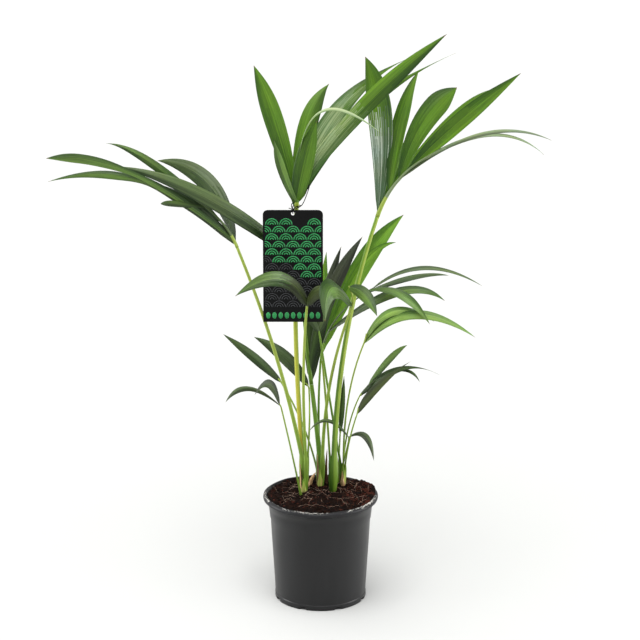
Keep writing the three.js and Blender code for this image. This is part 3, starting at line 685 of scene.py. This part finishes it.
def blade_columns(ribs):
    """Places across a blade, -1 to 1, with four columns a pleat and close ones at the rib."""
    steps = np.arange(1, PLEAT_COLUMNS * ribs + 1) / (PLEAT_COLUMNS * ribs)
    side = np.concatenate([[RIB_SHARE], RIB_SHARE + (MARGIN_SHARE - RIB_SHARE) * steps, [1]])
    return np.concatenate([-side[::-1], [0], side])


def leaf_levels(t, s, leaf, rng):
    """The step of its tone at each place along and across a blade: one half painted lighter
    as lit and the other darker as painted shade, a painted highlight patch on the lit half and
    near its margin, deep at its margins, its root and beside its rib, with streaks along it and
    pale streaks over its near half that are painted sheen on some tones."""
    # side picks the half that is painted as lit.
    side = leaf.get("side", rng.choice((-1, 1)))
    along, across = t[:, None], s[None, :]
    # One half painted lighter as lit, the other darker as painted shade.
    lit = across * side
    level = 0.5 + 0.15 * np.tanh(lit * 5) - 0.26 * np.abs(across) ** 3
    level = level + 0.2 * np.minimum(along / 0.45, 1) - 0.14
    # A painted highlight: a lighter patch along the lit half.
    level += 0.16 * hump(along, rng.uniform(0.45, 0.8), 0.22) * (lit > 0)
    wander = np.sin(2 * math.pi * (along * rng.uniform(0.8, 1.6) + rng.random() + 0.4 * across))
    level += 0.1 * wander + leaf.get("light", 0)
    streaks = np.array([rng.gauss(0, 0.055) for _ in s])
    level += streaks * (1 + 0.6 * np.sin(5 * along + 9 * across))
    # Pale streaks over the near half: painted sheen on green_with_painted_sheen, pinstripes on striped.
    stripe_and_sheen_bands = np.array([max(0, rng.gauss(0, 1)) for _ in s])
    level += leaf.get("stripes", 0) * stripe_and_sheen_bands * hump(along, 0.32, 0.24)
    # A painted highlight near the margin of the lit half.
    level += 0.3 * leaf.get("edge", 0) * hump(lit, 0.8, 0.16)
    return np.clip(np.rint(level * (LEAF_LEVELS - 1)), 0, LEAF_LEVELS - 1).astype(int)


def add_leaflet(skin, rachis, leaf, tone, rng):
    """A thin folded and pleated blade, thicker along its rib, its root in the rachis."""
    ribs = leaf.get("ribs", 2)
    root = points_on(rachis, [leaf["at"]])[0]
    curve = arch(root, leaf["over"], leaf["tip"])
    t = np.linspace(0, 1, LEAF_STATIONS)
    centre, along = points_on(curve, t), slopes_on(curve, t)
    middle_slope = slopes_on(curve, [0.5])
    face = square_to(np.array(leaf["face"], float), middle_slope)[0]
    up = carried(face, middle_slope[0], along)
    across = np.cross(up, along)

    share = width_share(t, leaf)
    half = leaf["width"] / 2 * share * (0.3 + 0.7 * np.minimum(t / ROOT_TAPER, 1) ** 0.6)
    s = blade_columns(ribs)
    spread = np.abs(s)
    pleats = (spread - RIB_SHARE) / (MARGIN_SHARE - RIB_SHARE) * ribs
    is_pleated = (spread > RIB_SHARE) & (spread <= MARGIN_SHARE)
    ridge = np.where(is_pleated, 0.5 - 0.5 * np.cos(2 * math.pi * pleats), 0)
    wave = LEAF_WAVE * np.sin(2 * math.pi * (rng.uniform(1.6, 2.6) * t + rng.random()))
    lift = PLEAT_DEPTH / ribs * ridge - LEAF_FOLD * spread ** 1.15
    height = half[:, None] * (lift + wave[:, None] * (s * spread))
    body = LEAF_THICKNESS * (0.35 + 0.65 * share)[:, None]
    thin = body * np.interp(spread, [0, RIB_SHARE, 0.3, 1], [2.4, 1.6, 1, 0.7])
    groove = 0.25 * body * (spread < RIB_SHARE / 2)

    x = half[:, None] * s
    upper = stacked(x, height + body / 2 - groove)[:, ::-1]
    lower = stacked(x, height - thin + body / 2)
    section = np.concatenate([upper, lower], 1)
    rings = centre[:, None] + across[:, None] * section[..., :1] + up[:, None] * section[..., 1:]
    flat = np.concatenate([s[::-1], s]) * leaf["width"] / 2
    offset = rng.uniform(0, 500)
    uvs = stacked(lengths_along(centre)[:, None] + offset, flat[None, :] + offset)

    middle = (s[1:] + s[:-1]) / 2
    rows = (t[1:] + t[:-1]) / 2
    top, under = (leaf_levels(rows, middle, leaf, rng) for _ in range(2))
    top[:, np.abs(middle) < RIB_SHARE] = LEAF_LEVELS - 2
    edge = np.full((len(rows), 1), 1)
    levels = np.concatenate([top[:, ::-1], edge, under, edge], 1)
    around = np.concatenate([middle[::-1], [1], middle, [1]])
    is_far = rows[:, None] > leaf.get("turn", 0.5) + 0.1 * np.sin(40 * around - 9)
    tones = np.zeros_like(levels)
    for end, part in (("near", ~is_far), ("far", is_far)):
        shade = leaf.get(end, leaf.get("tone", tone))
        steps = np.array([skin.tone(leaf_tone(shade, level)) for level in range(LEAF_LEVELS)])
        tones[part] = steps[levels[part]]
    tones[rows > TIP_START] = skin.tone("leaf_tip")
    skin.loft(rings, tones, uvs)


def build_frond(f):
    skin = Skin("leaves_" + f["name"])
    rng = random.Random(f["name"])
    rachis = rachis_curve(f)
    t = np.linspace(0, 1, RACHIS_STATIONS)
    radii = f["radius"][1] + (RACHIS_TIP_RADIUS - f["radius"][1]) * t
    stalk = skin.tone(f["stalk"][0])
    tone = skin.tone(leaf_tone(f["rachis"], LEAF_LEVELS // 2)) if f["rachis"] else stalk
    rows = np.where(t[1:] < RACHIS_TURN, stalk, tone)
    rod(skin, points_on(rachis, t), radii, rows[:, None], RACHIS_SIDES, FLAT_UP, 0.9, 0.25)
    for one in f["leaves"]:
        add_leaflet(skin, rachis, one, f["tone"], rng)
    skin.build(LEAF_SLOTS.get(f["tone"], "frond_" + f["tone"]), "frond_" + f["name"])


def eased(start, leaving, end, arriving, u):
    """A smooth line from start to end, by its slopes there, at each share u of the way."""
    share = 3 * u ** 2 - 2 * u ** 3
    bends = leaving * (u ** 3 - 2 * u ** 2 + u) + arriving * (u ** 3 - u ** 2)
    return start + (end - start) * share + bends


def build_petiole(f):
    """A petiole, carried down through its clump into the soil as its own sheath."""
    skin = Skin("stalk_" + f["name"])
    curve = petiole_curve(f)
    t = np.linspace(0, 1, PETIOLE_STATIONS)
    line = points_on(curve, t)
    foot, top = f["radius"]
    radii = foot + (top - foot) * t
    if f["stem"]:
        base = np.array(STEMS[f["stem"]]["foot"]) * 0.35 + np.array(f["foot"]) * 0.65
        start = np.array([*base, SEAT_HEIGHT])
        rise = line[0][2] - SEAT_HEIGHT
        u = np.linspace(0, 1, SHEATH_STATIONS)[:-1, None]
        lower = eased(start, np.array([0, 0, rise]), line[0], slopes_on(curve, [0])[0] * rise, u)
        down = 1 - u[:, 0]
        swelling = foot + (0.3 * foot + 1.2) * np.sin(math.pi * down ** 0.8)
        line = np.concatenate([lower, line])
        radii = np.concatenate([swelling - 0.2 * foot * down ** 3, radii])
    else:
        radii = radii * (1 + 0.45 * hump(t, 0, 1 / 7))
    inward = (-f["top"][0], PALM_MIDDLE_Y - f["top"][1], 0.01)
    outer, inner = skin.named(*f["stalk"])
    row = np.where(np.arange(PETIOLE_SIDES) < PETIOLE_SIDES // 2, inner, outer)
    rod(skin, line, radii, row[None, :], PETIOLE_SIDES, inward, 0.92, 0.2)
    skin.build("petiole", "petiole_" + f["name"])


def add_wrap(skin, stem, middle, span, heights, girth, tones):
    """A leaf sheath wrapped part way round a clump: middle and span are angles in degrees,
    heights is its top at the middle and at its edges, girth its size to the clump's own,
    and tones the materials of its blade and its edge."""
    columns, rows = 22, 20
    around = np.linspace(-1, 1, columns)
    angle = np.radians(middle + around * span / 2)
    top = heights[1] + (heights[0] - heights[1]) * (1 - np.abs(around)) ** 1.6
    v = np.linspace(0, 1, rows)[:, None]
    z = SEAT_HEIGHT + (top - SEAT_HEIGHT) * v
    lift = np.clip((z - SOIL_MOUND_HEIGHT) / 16, 0, 1)
    swell = girth * (0.72 + 0.28 * lift ** 0.7) + 0.02 * np.sin(angle * 9 + v * 3)
    x, y = stem["foot"]
    outer, inner = (
        stacked(x + (swell * stem["width"] / 2 + grow) * np.cos(angle),
                y + (swell * stem["depth"] / 2 + grow) * np.sin(angle), z)
        for grow in (SHEATH_THICKNESS / 2, -SHEATH_THICKNESS / 2))
    blade, edge = skin.named(*tones)
    row = np.full(2 * columns, blade)
    row[[0, columns - 2, columns - 1, columns, -2, -1]] = edge
    shades = np.repeat(row[None, :], rows - 1, 0)
    shades[-2:] = edge
    skin.loft(np.concatenate([outer, inner[:, ::-1]], 1), shades)


def add_dry_blade(skin, curve, widest, material):
    """A dead bit of sheath along a curve, a narrow folded blade with a ragged point."""
    t = np.linspace(0, 1, 24)
    half = (widest * (1 - 0.95 * t ** 2.4) * (1 + 0.08 * np.sin(t * 31)))[:, None]
    s = np.linspace(-1, 1, 9)
    fold = half * (0.8 * np.abs(s))
    outer = stacked(half * s, fold - DRY_THICKNESS / 2, 0)
    inner = stacked(half * s, fold + DRY_THICKNESS / 2, 0)[:, ::-1]
    rings = points_on(curve, t)[:, None] + np.concatenate([outer, inner], 1)
    skin.loft(rings, skin.tone(material))


# The sheaths round each clump, as add_wrap takes them.
WRAPS = {
    "left": [
        (180, 240, (236, 190), 0.82, ("sheath", "dry")),
        (0, 240, (246, 200), 0.86, ("sheath", "sheath")),
        (222, 46, (232, 178), 0.98, ("dry_pale", "dry_pale")),
        (268, 100, (206, 182), 0.96, ("sheath_foot", "sheath")),
    ],
    "middle": [
        (90, 240, (240, 190), 0.84, ("sheath_deep", "dry")),
        (232, 60, (240, 186), 0.95, ("dry", "dry_pale")),
        (272, 120, (214, 182), 1, ("sheath_foot", "sheath_foot")),
        (310, 44, (200, 178), 1.06, ("dry_pale", "dry_pale")),
    ],
    "right": [
        (222, 180, (250, 200), 0.84, ("sheath_deep", "sheath_deep")),
        (312, 110, (244, 192), 0.82, ("sheath", "sheath")),
        (350, 44, (228, 180), 0.96, ("dry", "dry")),
        (60, 200, (226, 190), 0.86, ("sheath_deep", "dry")),
    ],
    "small": [
        (90, 240, (216, 188), 0.9, ("sheath", "dry")),
        (262, 110, (208, 180), 1, ("dry_pale", "dry_pale")),
        (300, 70, (214, 182), 0.94, ("sheath_foot", "sheath")),
    ],
}


def build_clump(name, stem):
    """A clump's wrapped sheaths. The middle clump has a dead flap at its foot."""
    skin = Skin("sheaths_" + name)
    for wrap in WRAPS[name]:
        add_wrap(skin, stem, *wrap)
    if name == "middle":
        flap = arch((-19.5, 27, SOIL_MOUND_HEIGHT - 4), (-14, 28, 193), (-7, 29, 204))
        add_dry_blade(skin, flap, 3.6, "dry_pale")
    skin.build("sheath", "stem_" + name)


def build_dry_tip():
    skin = Skin("dead_sheath")
    add_dry_blade(skin, arch((9.8, 41, SEAT_HEIGHT), (9.5, 41.4, 208), (11, 42, 240)), 2.5, "dry")
    skin.build("dry_sheath", "dry_sheath")


for one in FRONDS:
    build_frond(one)
    build_petiole(one)
for name, stem in STEMS.items():
    build_clump(name, stem)
build_dry_tip()


# ---- pot and soil

def on_circle(centre, radius, angles):
    return [(centre[0] + radius * math.cos(a), centre[1] + radius * math.sin(a)) for a in angles]


def arc(centre, radius, start, stop, steps):
    """Points of an arc in the pot's outline, angles in degrees."""
    return on_circle(centre, radius, np.radians(np.linspace(start, stop, steps)))


def pot_outline():
    """The pot from the middle of its underside, up the outside, over the rim and down."""
    foot, step = POT_FOOT_RADIUS, POT_FOOT_HEIGHT
    collar, flared = POT_COLLAR_RADIUS, POT_COLLAR_RADIUS + POT_COLLAR_FLARE
    under_rim = POT_HEIGHT - POT_RIM_ROLL
    collar_base = under_rim - POT_COLLAR_HEIGHT
    roll = POT_RIM_ROLL / 2
    return [
        (0.01, 0), (foot - 3, 0), *arc((foot - 1.5, 1.5), 1.5, -90, 0, 4),
        (foot, DRAIN_HEIGHT), (foot, DRAIN_HEIGHT + 0.05), (foot, step - 2),
        *arc((foot - 1, step - 1), 1, 0, 70, 4), (foot - 0.6, step + 1),
        (foot + 1.2, 40), (collar - 4.6, 100), (collar - 2.6, collar_base - 2),
        (collar - 1.4, collar_base + 1), (collar, collar_base + 14), (flared, under_rim - 1),
        (POT_RIM_RADIUS - 5, under_rim),
        *arc((POT_RIM_RADIUS - roll, POT_HEIGHT - roll), roll, -70, 100, 12),
        (flared + 2.5, POT_HEIGHT - 0.6), (flared - POT_WALL + 1, POT_HEIGHT - 3),
        (collar - POT_WALL - 0.4, collar_base + 1),
        (foot - 1 - POT_WALL, step), (foot - 3 - POT_WALL, POT_WALL), (0.01, POT_WALL),
    ]


def build_pot():
    """The turned pot, its rim a little out of round, with drainage slots cut in its foot."""
    radius, height = np.array(pot_outline()).T
    segments = 144
    angle = full_turn(segments)
    looseness = np.clip((height - 150) / 28, 0, 1) * (radius > 20)
    sway = 0.45 * np.sin(3 * angle + 0.6) + 0.3 * np.sin(7 * angle) - 0.75
    dip = 0.5 * np.sin(5 * angle + 1.1) + 0.4 * np.sin(9 * angle + 0.3) - 0.9
    slot = 2 * math.pi / DRAIN_SLOTS
    off_slot = np.abs((angle % slot) - slot / 2) * POT_FOOT_RADIUS
    low = (height <= DRAIN_HEIGHT) & (radius > POT_FOOT_RADIUS - 5)
    recess = DRAIN_RECESS * low[:, None] * (off_slot < DRAIN_WIDTH / 2)
    r = radius[:, None] + looseness[:, None] * sway - recess
    z = height[:, None] + looseness[:, None] * dip
    skin = Skin("grower_pot")
    body, rim = skin.named("pot", "rim")
    centre = (height[1:] + height[:-1]) / 2
    wide = (radius[1:] + radius[:-1]) / 2
    on_rim = (centre > POT_HEIGHT - POT_RIM_ROLL) & (wide > POT_COLLAR_RADIUS + 4)
    tones = np.where(on_rim, rim, body)
    skin.loft(stacked(r * np.cos(angle), r * np.sin(angle), z), tones[:, None])
    skin.build("pot", "pot")


def soil_reach(angle):
    """How far out the compost goes: furthest at the right, where it is heaped on the rim."""
    return SOIL_RADIUS + 2.5 + 5 * hump(math.remainder(angle - 0.35, 2 * math.pi), 0, 0.55)


def soil_noise(x, y, layer, size):
    """Noise over the compost, in lumps of a size in millimetres, another in each layer."""
    return noise.noise(Vector((x, y, layer)) / size)


def soil_height(x, y):
    """The compost's surface: the mound and a heap at the right, with lumps, clods and grit."""
    below = np.interp(math.hypot(x, y), MOUND_RADII, MOUND_DROPS)
    heap = 8.5 * hump(x, 82, 26) * hump(y, 22, 36)
    lumps, clods = 3.6 * soil_noise(x, y, 0, 15), 2.2 * soil_noise(x + 50, y, 3, 5)
    grit = 1.1 * soil_noise(x, y + 90, 7, 1.9)
    return SOIL_MOUND_HEIGHT - below + heap + lumps + clods + grit


def build_soil():
    skin = Skin("compost")
    dark, soil, red = skin.named("crumb_dark", "soil", "crumb_red")
    segments, circles = 200, 75
    angle = full_turn(segments)
    reach = np.array([soil_reach(a) for a in angle])
    inside = ((SOIL_RADIUS - 6, 150), (SOIL_RADIUS - 1, SOIL_EDGE_HEIGHT))
    rings = [stacked(r * np.cos(angle), r * np.sin(angle), z) for r, z in inside]
    for share in np.linspace(1, 0.01, circles):
        x, y = share * reach * np.cos(angle), share * reach * np.sin(angle)
        rings.append(stacked(x, y, [soil_height(*spot) for spot in zip(x, y)]))
    tones = np.full((circles + 1, segments), soil)
    for i in range(circles):
        for j in range(segments):
            x, y, _ = rings[i + 2][j]
            # Dark patches here and there, and redder toward the heap at the right: partly the compost's
            # colour, partly a painted highlight.
            if soil_noise(x, y, 40, 14) + 0.6 * soil_noise(x, y, 60, 3) < 0.02:
                tones[i + 1, j] = dark
            elif soil_noise(x, y, 80, 8) + hump(x, 74, 34) * hump(y, 10, 55) > 0.5:
                tones[i + 1, j] = red
    skin.loft(np.array(rings), tones)
    skin.build("soil", "soil")


def random_spot(rng, margin):
    """A place on the compost, this far or further in from its edge."""
    r, a = (SOIL_RADIUS - margin) * math.sqrt(rng.random()), rng.uniform(0, 2 * math.pi)
    return r * math.cos(a), r * math.sin(a)


CRUMBS = 1800
CRUMB_SIDES = 7
# How high and how wide each ring of a crumb is, to the crumb's size.
CRUMB_RINGS = ((-0.6, 0.45), (-0.1, 1), (0.35, 0.8), (0.62, 0.3))


def build_crumbs():
    """Clods and bits of husk on the compost, as squashed lumps that lean all ways."""
    rng = random.Random("crumbs")
    skin = Skin("compost_crumbs")
    tones = skin.named("crumb_dark", "soil", "crumb_red")
    angle = full_turn(CRUMB_SIDES)
    up, wide = np.array(CRUMB_RINGS).T[:, :, None]
    for _ in range(CRUMBS):
        x, y = random_spot(rng, 1)
        size = rng.uniform(0.5, 1.9) ** 1.2
        # More red crumbs toward the right: partly the compost's colour, partly a painted highlight on
        # the heap.
        tone = rng.choices(tones, (4, 4, 1.2 + 3 * (x > 40)))[0]
        spin = Matrix.Rotation(rng.uniform(0, 6.3), 3, "Z")
        lean = np.array(spin @ Matrix.Rotation(rng.uniform(-1, 1), 3, "X"))
        out = wide * [rng.uniform(0.7, 1.15) for _ in angle]
        rings = stacked(np.cos(angle) * out * 1.3, np.sin(angle) * out, up) @ lean.T
        skin.loft(rings * size + (x, y, soil_height(x, y) + size * 0.25), tone)
    skin.build("soil")


FIBRES = 260
FIBRE_POINTS = 12
# The range of a fibre's length, of its arch and of its thickness.
LONG_FIBRES = ((14, 44), (0, 5), (0.08, 0.14))
SHORT_FIBRES = ((4, 9), (0, 1), (0.1, 0.16))


def build_fibres():
    """Coir fibres that lie and curl over the compost: short dark ones and long pale ones."""
    rng = random.Random("fibres")
    skin = Skin("compost_fibres")
    dark, brown, pale = skin.named("crumb_red", "fibre_brown", "fibre_pale")
    for _ in range(FIBRES):
        x, y = random_spot(rng, 3)
        is_long = rng.random() < 0.4
        lengths, arches, thicks = LONG_FIBRES if is_long else SHORT_FIBRES
        way, curl = rng.uniform(0, 6.3), rng.uniform(-0.09, 0.09)
        step = rng.uniform(*lengths) / FIBRE_POINTS
        lift = rng.uniform(0.2, 0.8)
        rise = rng.uniform(*arches)
        line = []
        for u in np.linspace(0, 1, FIBRE_POINTS):
            line.append((x, y, soil_height(x, y) + lift + rise * math.sin(math.pi * u)))
            way += curl + rng.uniform(-0.08, 0.08)
            x += math.cos(way) * step
            y += math.sin(way) * step
            if math.hypot(x, y) > SOIL_RADIUS - 1:
                break
        if len(line) < 5:
            continue
        taper = np.interp(np.linspace(0, 1, len(line)), [0, 0.2, 0.8, 1], [0.5, 1, 1, 0.3])
        radii = rng.uniform(*thicks) * taper
        tones, weights = ((brown, pale), (1, 3)) if is_long else ((dark, brown), (5, 1))
        rod(skin, line, radii, rng.choices(tones, weights)[0], 4, (0, 0, 1))
    skin.build("soil")


# Where scuffs gather on the rim: the angle and its spread in degrees, how many and how big.
SCUFF_PLACES = (
    (-66, 5, 70, 1.3), (-30, 9, 80, 1.2), (-150, 9, 60, 1.1), (-118, 16, 60, 0.7),
    (-92, 22, 90, 0.6), (-5, 14, 60, 0.8), (180, 16, 60, 0.8), (60, 100, 60, 0.5),
)
SCUFF_SIDES = 6


def build_scuffs():
    """Pale scrapes on the rolled rim, round its front edge and thickest at three places."""
    rng = random.Random("scuffs")
    skin = Skin("rim_scuffs")
    tone = skin.tone("scuff")
    roll = POT_RIM_ROLL / 2
    up = np.array([0, 0, 1])
    angle = full_turn(SCUFF_SIDES)
    for middle, spread, count, scale in SCUFF_PLACES:
        for _ in range(count):
            a = math.radians(rng.gauss(middle, spread))
            turn = math.radians(rng.gauss(78, 16))
            size = rng.uniform(0.2, 0.6) * scale
            around = np.array([math.cos(a), math.sin(a), 0])
            out = around * math.cos(turn) + up * math.sin(turn)
            core = around * (POT_RIM_RADIUS - roll - 0.75) + up * (POT_HEIGHT - roll - 0.9)
            at = core + out * (roll + 0.12)
            along = np.cross(up, around)
            tilt = rng.gauss(0, 0.4)
            side = along * math.cos(tilt) + np.cross(out, along) * math.sin(tilt)
            wide = size * np.array([rng.uniform(0.6, 1.3) for _ in angle])
            length = rng.uniform(2, 5)
            flat = stacked(np.cos(angle) * wide * length, np.sin(angle) * wide * 0.7)
            flat = flat @ [side, np.cross(out, side)]
            skin.loft(np.array([at + flat - out * 0.3, at + flat * 0.8 + out * 0.05]), tone)
    skin.build("pot")


build_pot()
build_soil()
build_crumbs()
build_fibres()
build_scuffs()


# ---- hang card

CARD_LOW, CARD_HIGH = (np.array(corner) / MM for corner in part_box("card"))
CARD_MIDDLE = (CARD_LOW + CARD_HIGH) / 2
CARD_MARGIN = 3
HOLE_DROP = 6
INK = 0.12
INK_SEAT = 0.05
SCALLOP_ROWS = 12
SCALLOP_COLUMNS = 6
SCALLOP_PITCH = 22.5
OVALS = 9
ELASTIC_RADIUS = 0.75


def flat_shape(skin, outline, tone):
    """A closed outline in the card's face, as a thin raised layer of ink."""
    x, z = np.array(outline).T
    skin.loft(np.array([stacked(x, CARD_LOW[1] + y, z) for y in (INK_SEAT, -INK)]), tone)


def scallop(skin, centre, outer, inner, tone):
    """Half a ring of ink round centre, cut off at the card's margins."""
    low, high = CARD_LOW[0] + CARD_MARGIN, CARD_HIGH[0] - CARD_MARGIN
    angles = np.linspace(0, math.pi, 17)
    kept = [a for a in angles if low <= centre[0] + outer * math.cos(a) <= high]
    if len(kept) > 3:
        inside = on_circle(centre, inner, reversed(kept))
        flat_shape(skin, on_circle(centre, outer, kept) + inside, tone)


def build_card_print():
    """Rows of plain scallops, green above and thin and grey below, over a row of ovals."""
    skin = Skin("card_print")
    green, grey = skin.named("card_green", "card_grey")
    left, low = CARD_LOW[0] + CARD_MARGIN, CARD_LOW[2] + CARD_MARGIN
    for row in range(SCALLOP_ROWS):
        z = low + 22 + row * (SCALLOP_PITCH / 2 + 1.2)
        for column in range(SCALLOP_COLUMNS):
            x = left + (column + (row % 2) / 2) * SCALLOP_PITCH
            if row == SCALLOP_ROWS - 1 and abs(x - CARD_MIDDLE[0]) < SCALLOP_PITCH / 2:
                continue
            tone, thick = (green, 1.8) if row > 6 - column else (grey, 0.8)
            for ring in range(3):
                outer = SCALLOP_PITCH / 2 - 0.6 - ring * 3.6
                scallop(skin, (x, z), outer, outer - thick, tone)
    for i in range(OVALS):
        x = left + 5 + i * 10
        oval = [(x + 3.6 * math.cos(a), low + 8 - 5.5 * math.sin(a)) for a in full_turn(20)]
        flat_shape(skin, oval, green)
    skin.build("card")


def build_tie():
    """The thin elastic: through the card's hole to a knot, and from the knot in a wide and a
    close loop round the foot of the blades, with a loose end and three turns on the knot."""
    skin = Skin("elastic_loop")
    tone = skin.tone("elastic")
    top = np.array(next(f["top"] for f in FRONDS if f["name"] == "centre_high"))
    hole = np.array([*CARD_MIDDLE[:2], CARD_HIGH[2] - HOLE_DROP])
    knot = hole + (-0.5, -1.6, 6.5)
    wide = top + [(3, -8, 0), (9, -8, 5), (14, -6, 15), (20, -3, 32), (19, 4, 33), (12, 14, 14),
                  (1, 14, 6), (-8, 6, 2)]
    close = top + [(-2, -7, 0), (5, -5, 1), (5.5, 2, 1), (-1, 6, 1), (-6, 0, 0)]
    loops = [
        [*(hole + [(0, 1.2, 0), (0, 1.0, 4)]), knot],
        [*(hole + [(0, -1.2, 0), (-0.3, -1.6, 3)]), knot],
        [knot, *wide, knot],
        [knot, *close, knot],
        [knot, *(knot + [(-3.5, -0.5, 2.5), (-6, -0.2, 3)])],
    ]
    for loop in loops:
        rod(skin, smooth_line(loop, 9), ELASTIC_RADIUS, tone, 6, (1, 0.1, 0))
    a = np.linspace(0, 6, 10)
    for turn in range(3):
        line = knot + stacked(1.1 * np.cos(a), 0.8 * np.sin(a), 0.5 * turn - 0.5)
        rod(skin, line, 0.45, tone, 6, (0, 0, 1))
    skin.build("tie", "card_tie")


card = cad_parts["card"]
card.data.materials.clear()
card.data.materials.append(MATERIALS["card"])
build_card_print()
build_tie()


# ---- floor, light, view

FLOOR_CORNERS = [(-30, -30, 0), (30, -30, 0), (30, 30, 0), (-30, 30, 0)]
LIT_POINT = (0, 0, 0.45)
# The energy of each sun, how wide it is in degrees, and where it shines from.
SUNS = {
    "key": (2.3, 50, (-0.25, -1.0, 3.4)),
    "back": (0.8, 60, (-0.9, 1.1, 3.0)),
    "fill": (0.5, 70, (1.6, -1.4, 2.2)),
}
STRIP_ENERGY = 26
STRIP_SIZE = (0.5, 1.2)
STRIP_LIT_POINT = (0, 0, 0.25)
STRIPS = {"strip_left": (-1.7, 0.1, 0.6), "strip_right": (1.7, -0.1, 0.6)}


def build_floor():
    mesh = bpy.data.meshes.new("floor")
    mesh.from_pydata(FLOOR_CORNERS, [], [(0, 1, 2, 3)])
    n = Nodes(bpy.data.materials.new("floor"))
    n.shade(Base_Color=[0.672, 0.677, 0.664], Roughness=0.95, Specular_IOR_Level=0.05)
    mesh.materials.append(n.owner)
    floor = put("floor", mesh)
    return floor


def add_light(name, kind, energy, spot, aim, **values):
    data = bpy.data.lights.new(name, kind)
    data.energy = energy
    for key, value in values.items():
        setattr(data, key, value)
    light = put(name, data)
    light.location = spot
    light.rotation_euler = (Vector(aim) - Vector(spot)).to_track_quat("-Z", "Y").to_euler()
    return light


def build_light(floor):
    """A pale sky, three soft suns, and two strips that light the sides but not the floor."""
    world = bpy.data.worlds.new("studio")
    n = Nodes(world, "Background")
    height = n.add("ShaderNodeSeparateXYZ", Vector=n.coords.outputs["Generated"]).outputs["Z"]
    n.shade(Color=[1, 1, 1], Strength=n.spread(height, 1.0, 0.5, 0.12, 0.4))
    bpy.context.scene.world = world
    for name, (energy, wide, spot) in SUNS.items():
        add_light(name, "SUN", energy, spot, LIT_POINT, angle=math.radians(wide))
    unlit = bpy.data.collections.new("unlit_by_strips")
    unlit.objects.link(floor)
    unlit.collection_objects[0].light_linking.link_state = "EXCLUDE"
    size, size_y = STRIP_SIZE
    for name, spot in STRIPS.items():
        strip = add_light(name, "AREA", STRIP_ENERGY, spot, STRIP_LIT_POINT,
                          shape="RECTANGLE", size=size, size_y=size_y)
        strip.light_linking.receiver_collection = unlit


PHOTO_WIDTH = 640
FOCAL_PIXELS = 2738
SENSOR_WIDTH = 36
CAMERA_PLACE = (-0.0008, -4.218, 1.765)
CAMERA_PITCH = 17


def build_camera():
    data = bpy.data.cameras.new("camera")
    data.sensor_width = SENSOR_WIDTH
    data.lens = FOCAL_PIXELS / PHOTO_WIDTH * SENSOR_WIDTH
    data.clip_end = 100
    camera = put("camera", data)
    camera.location = CAMERA_PLACE
    camera.rotation_euler = (math.radians(90 - CAMERA_PITCH), 0, 0)
    bpy.context.scene.camera = camera


build_light(build_floor())
build_camera()
bpy.context.scene.view_settings.view_transform = "Standard"
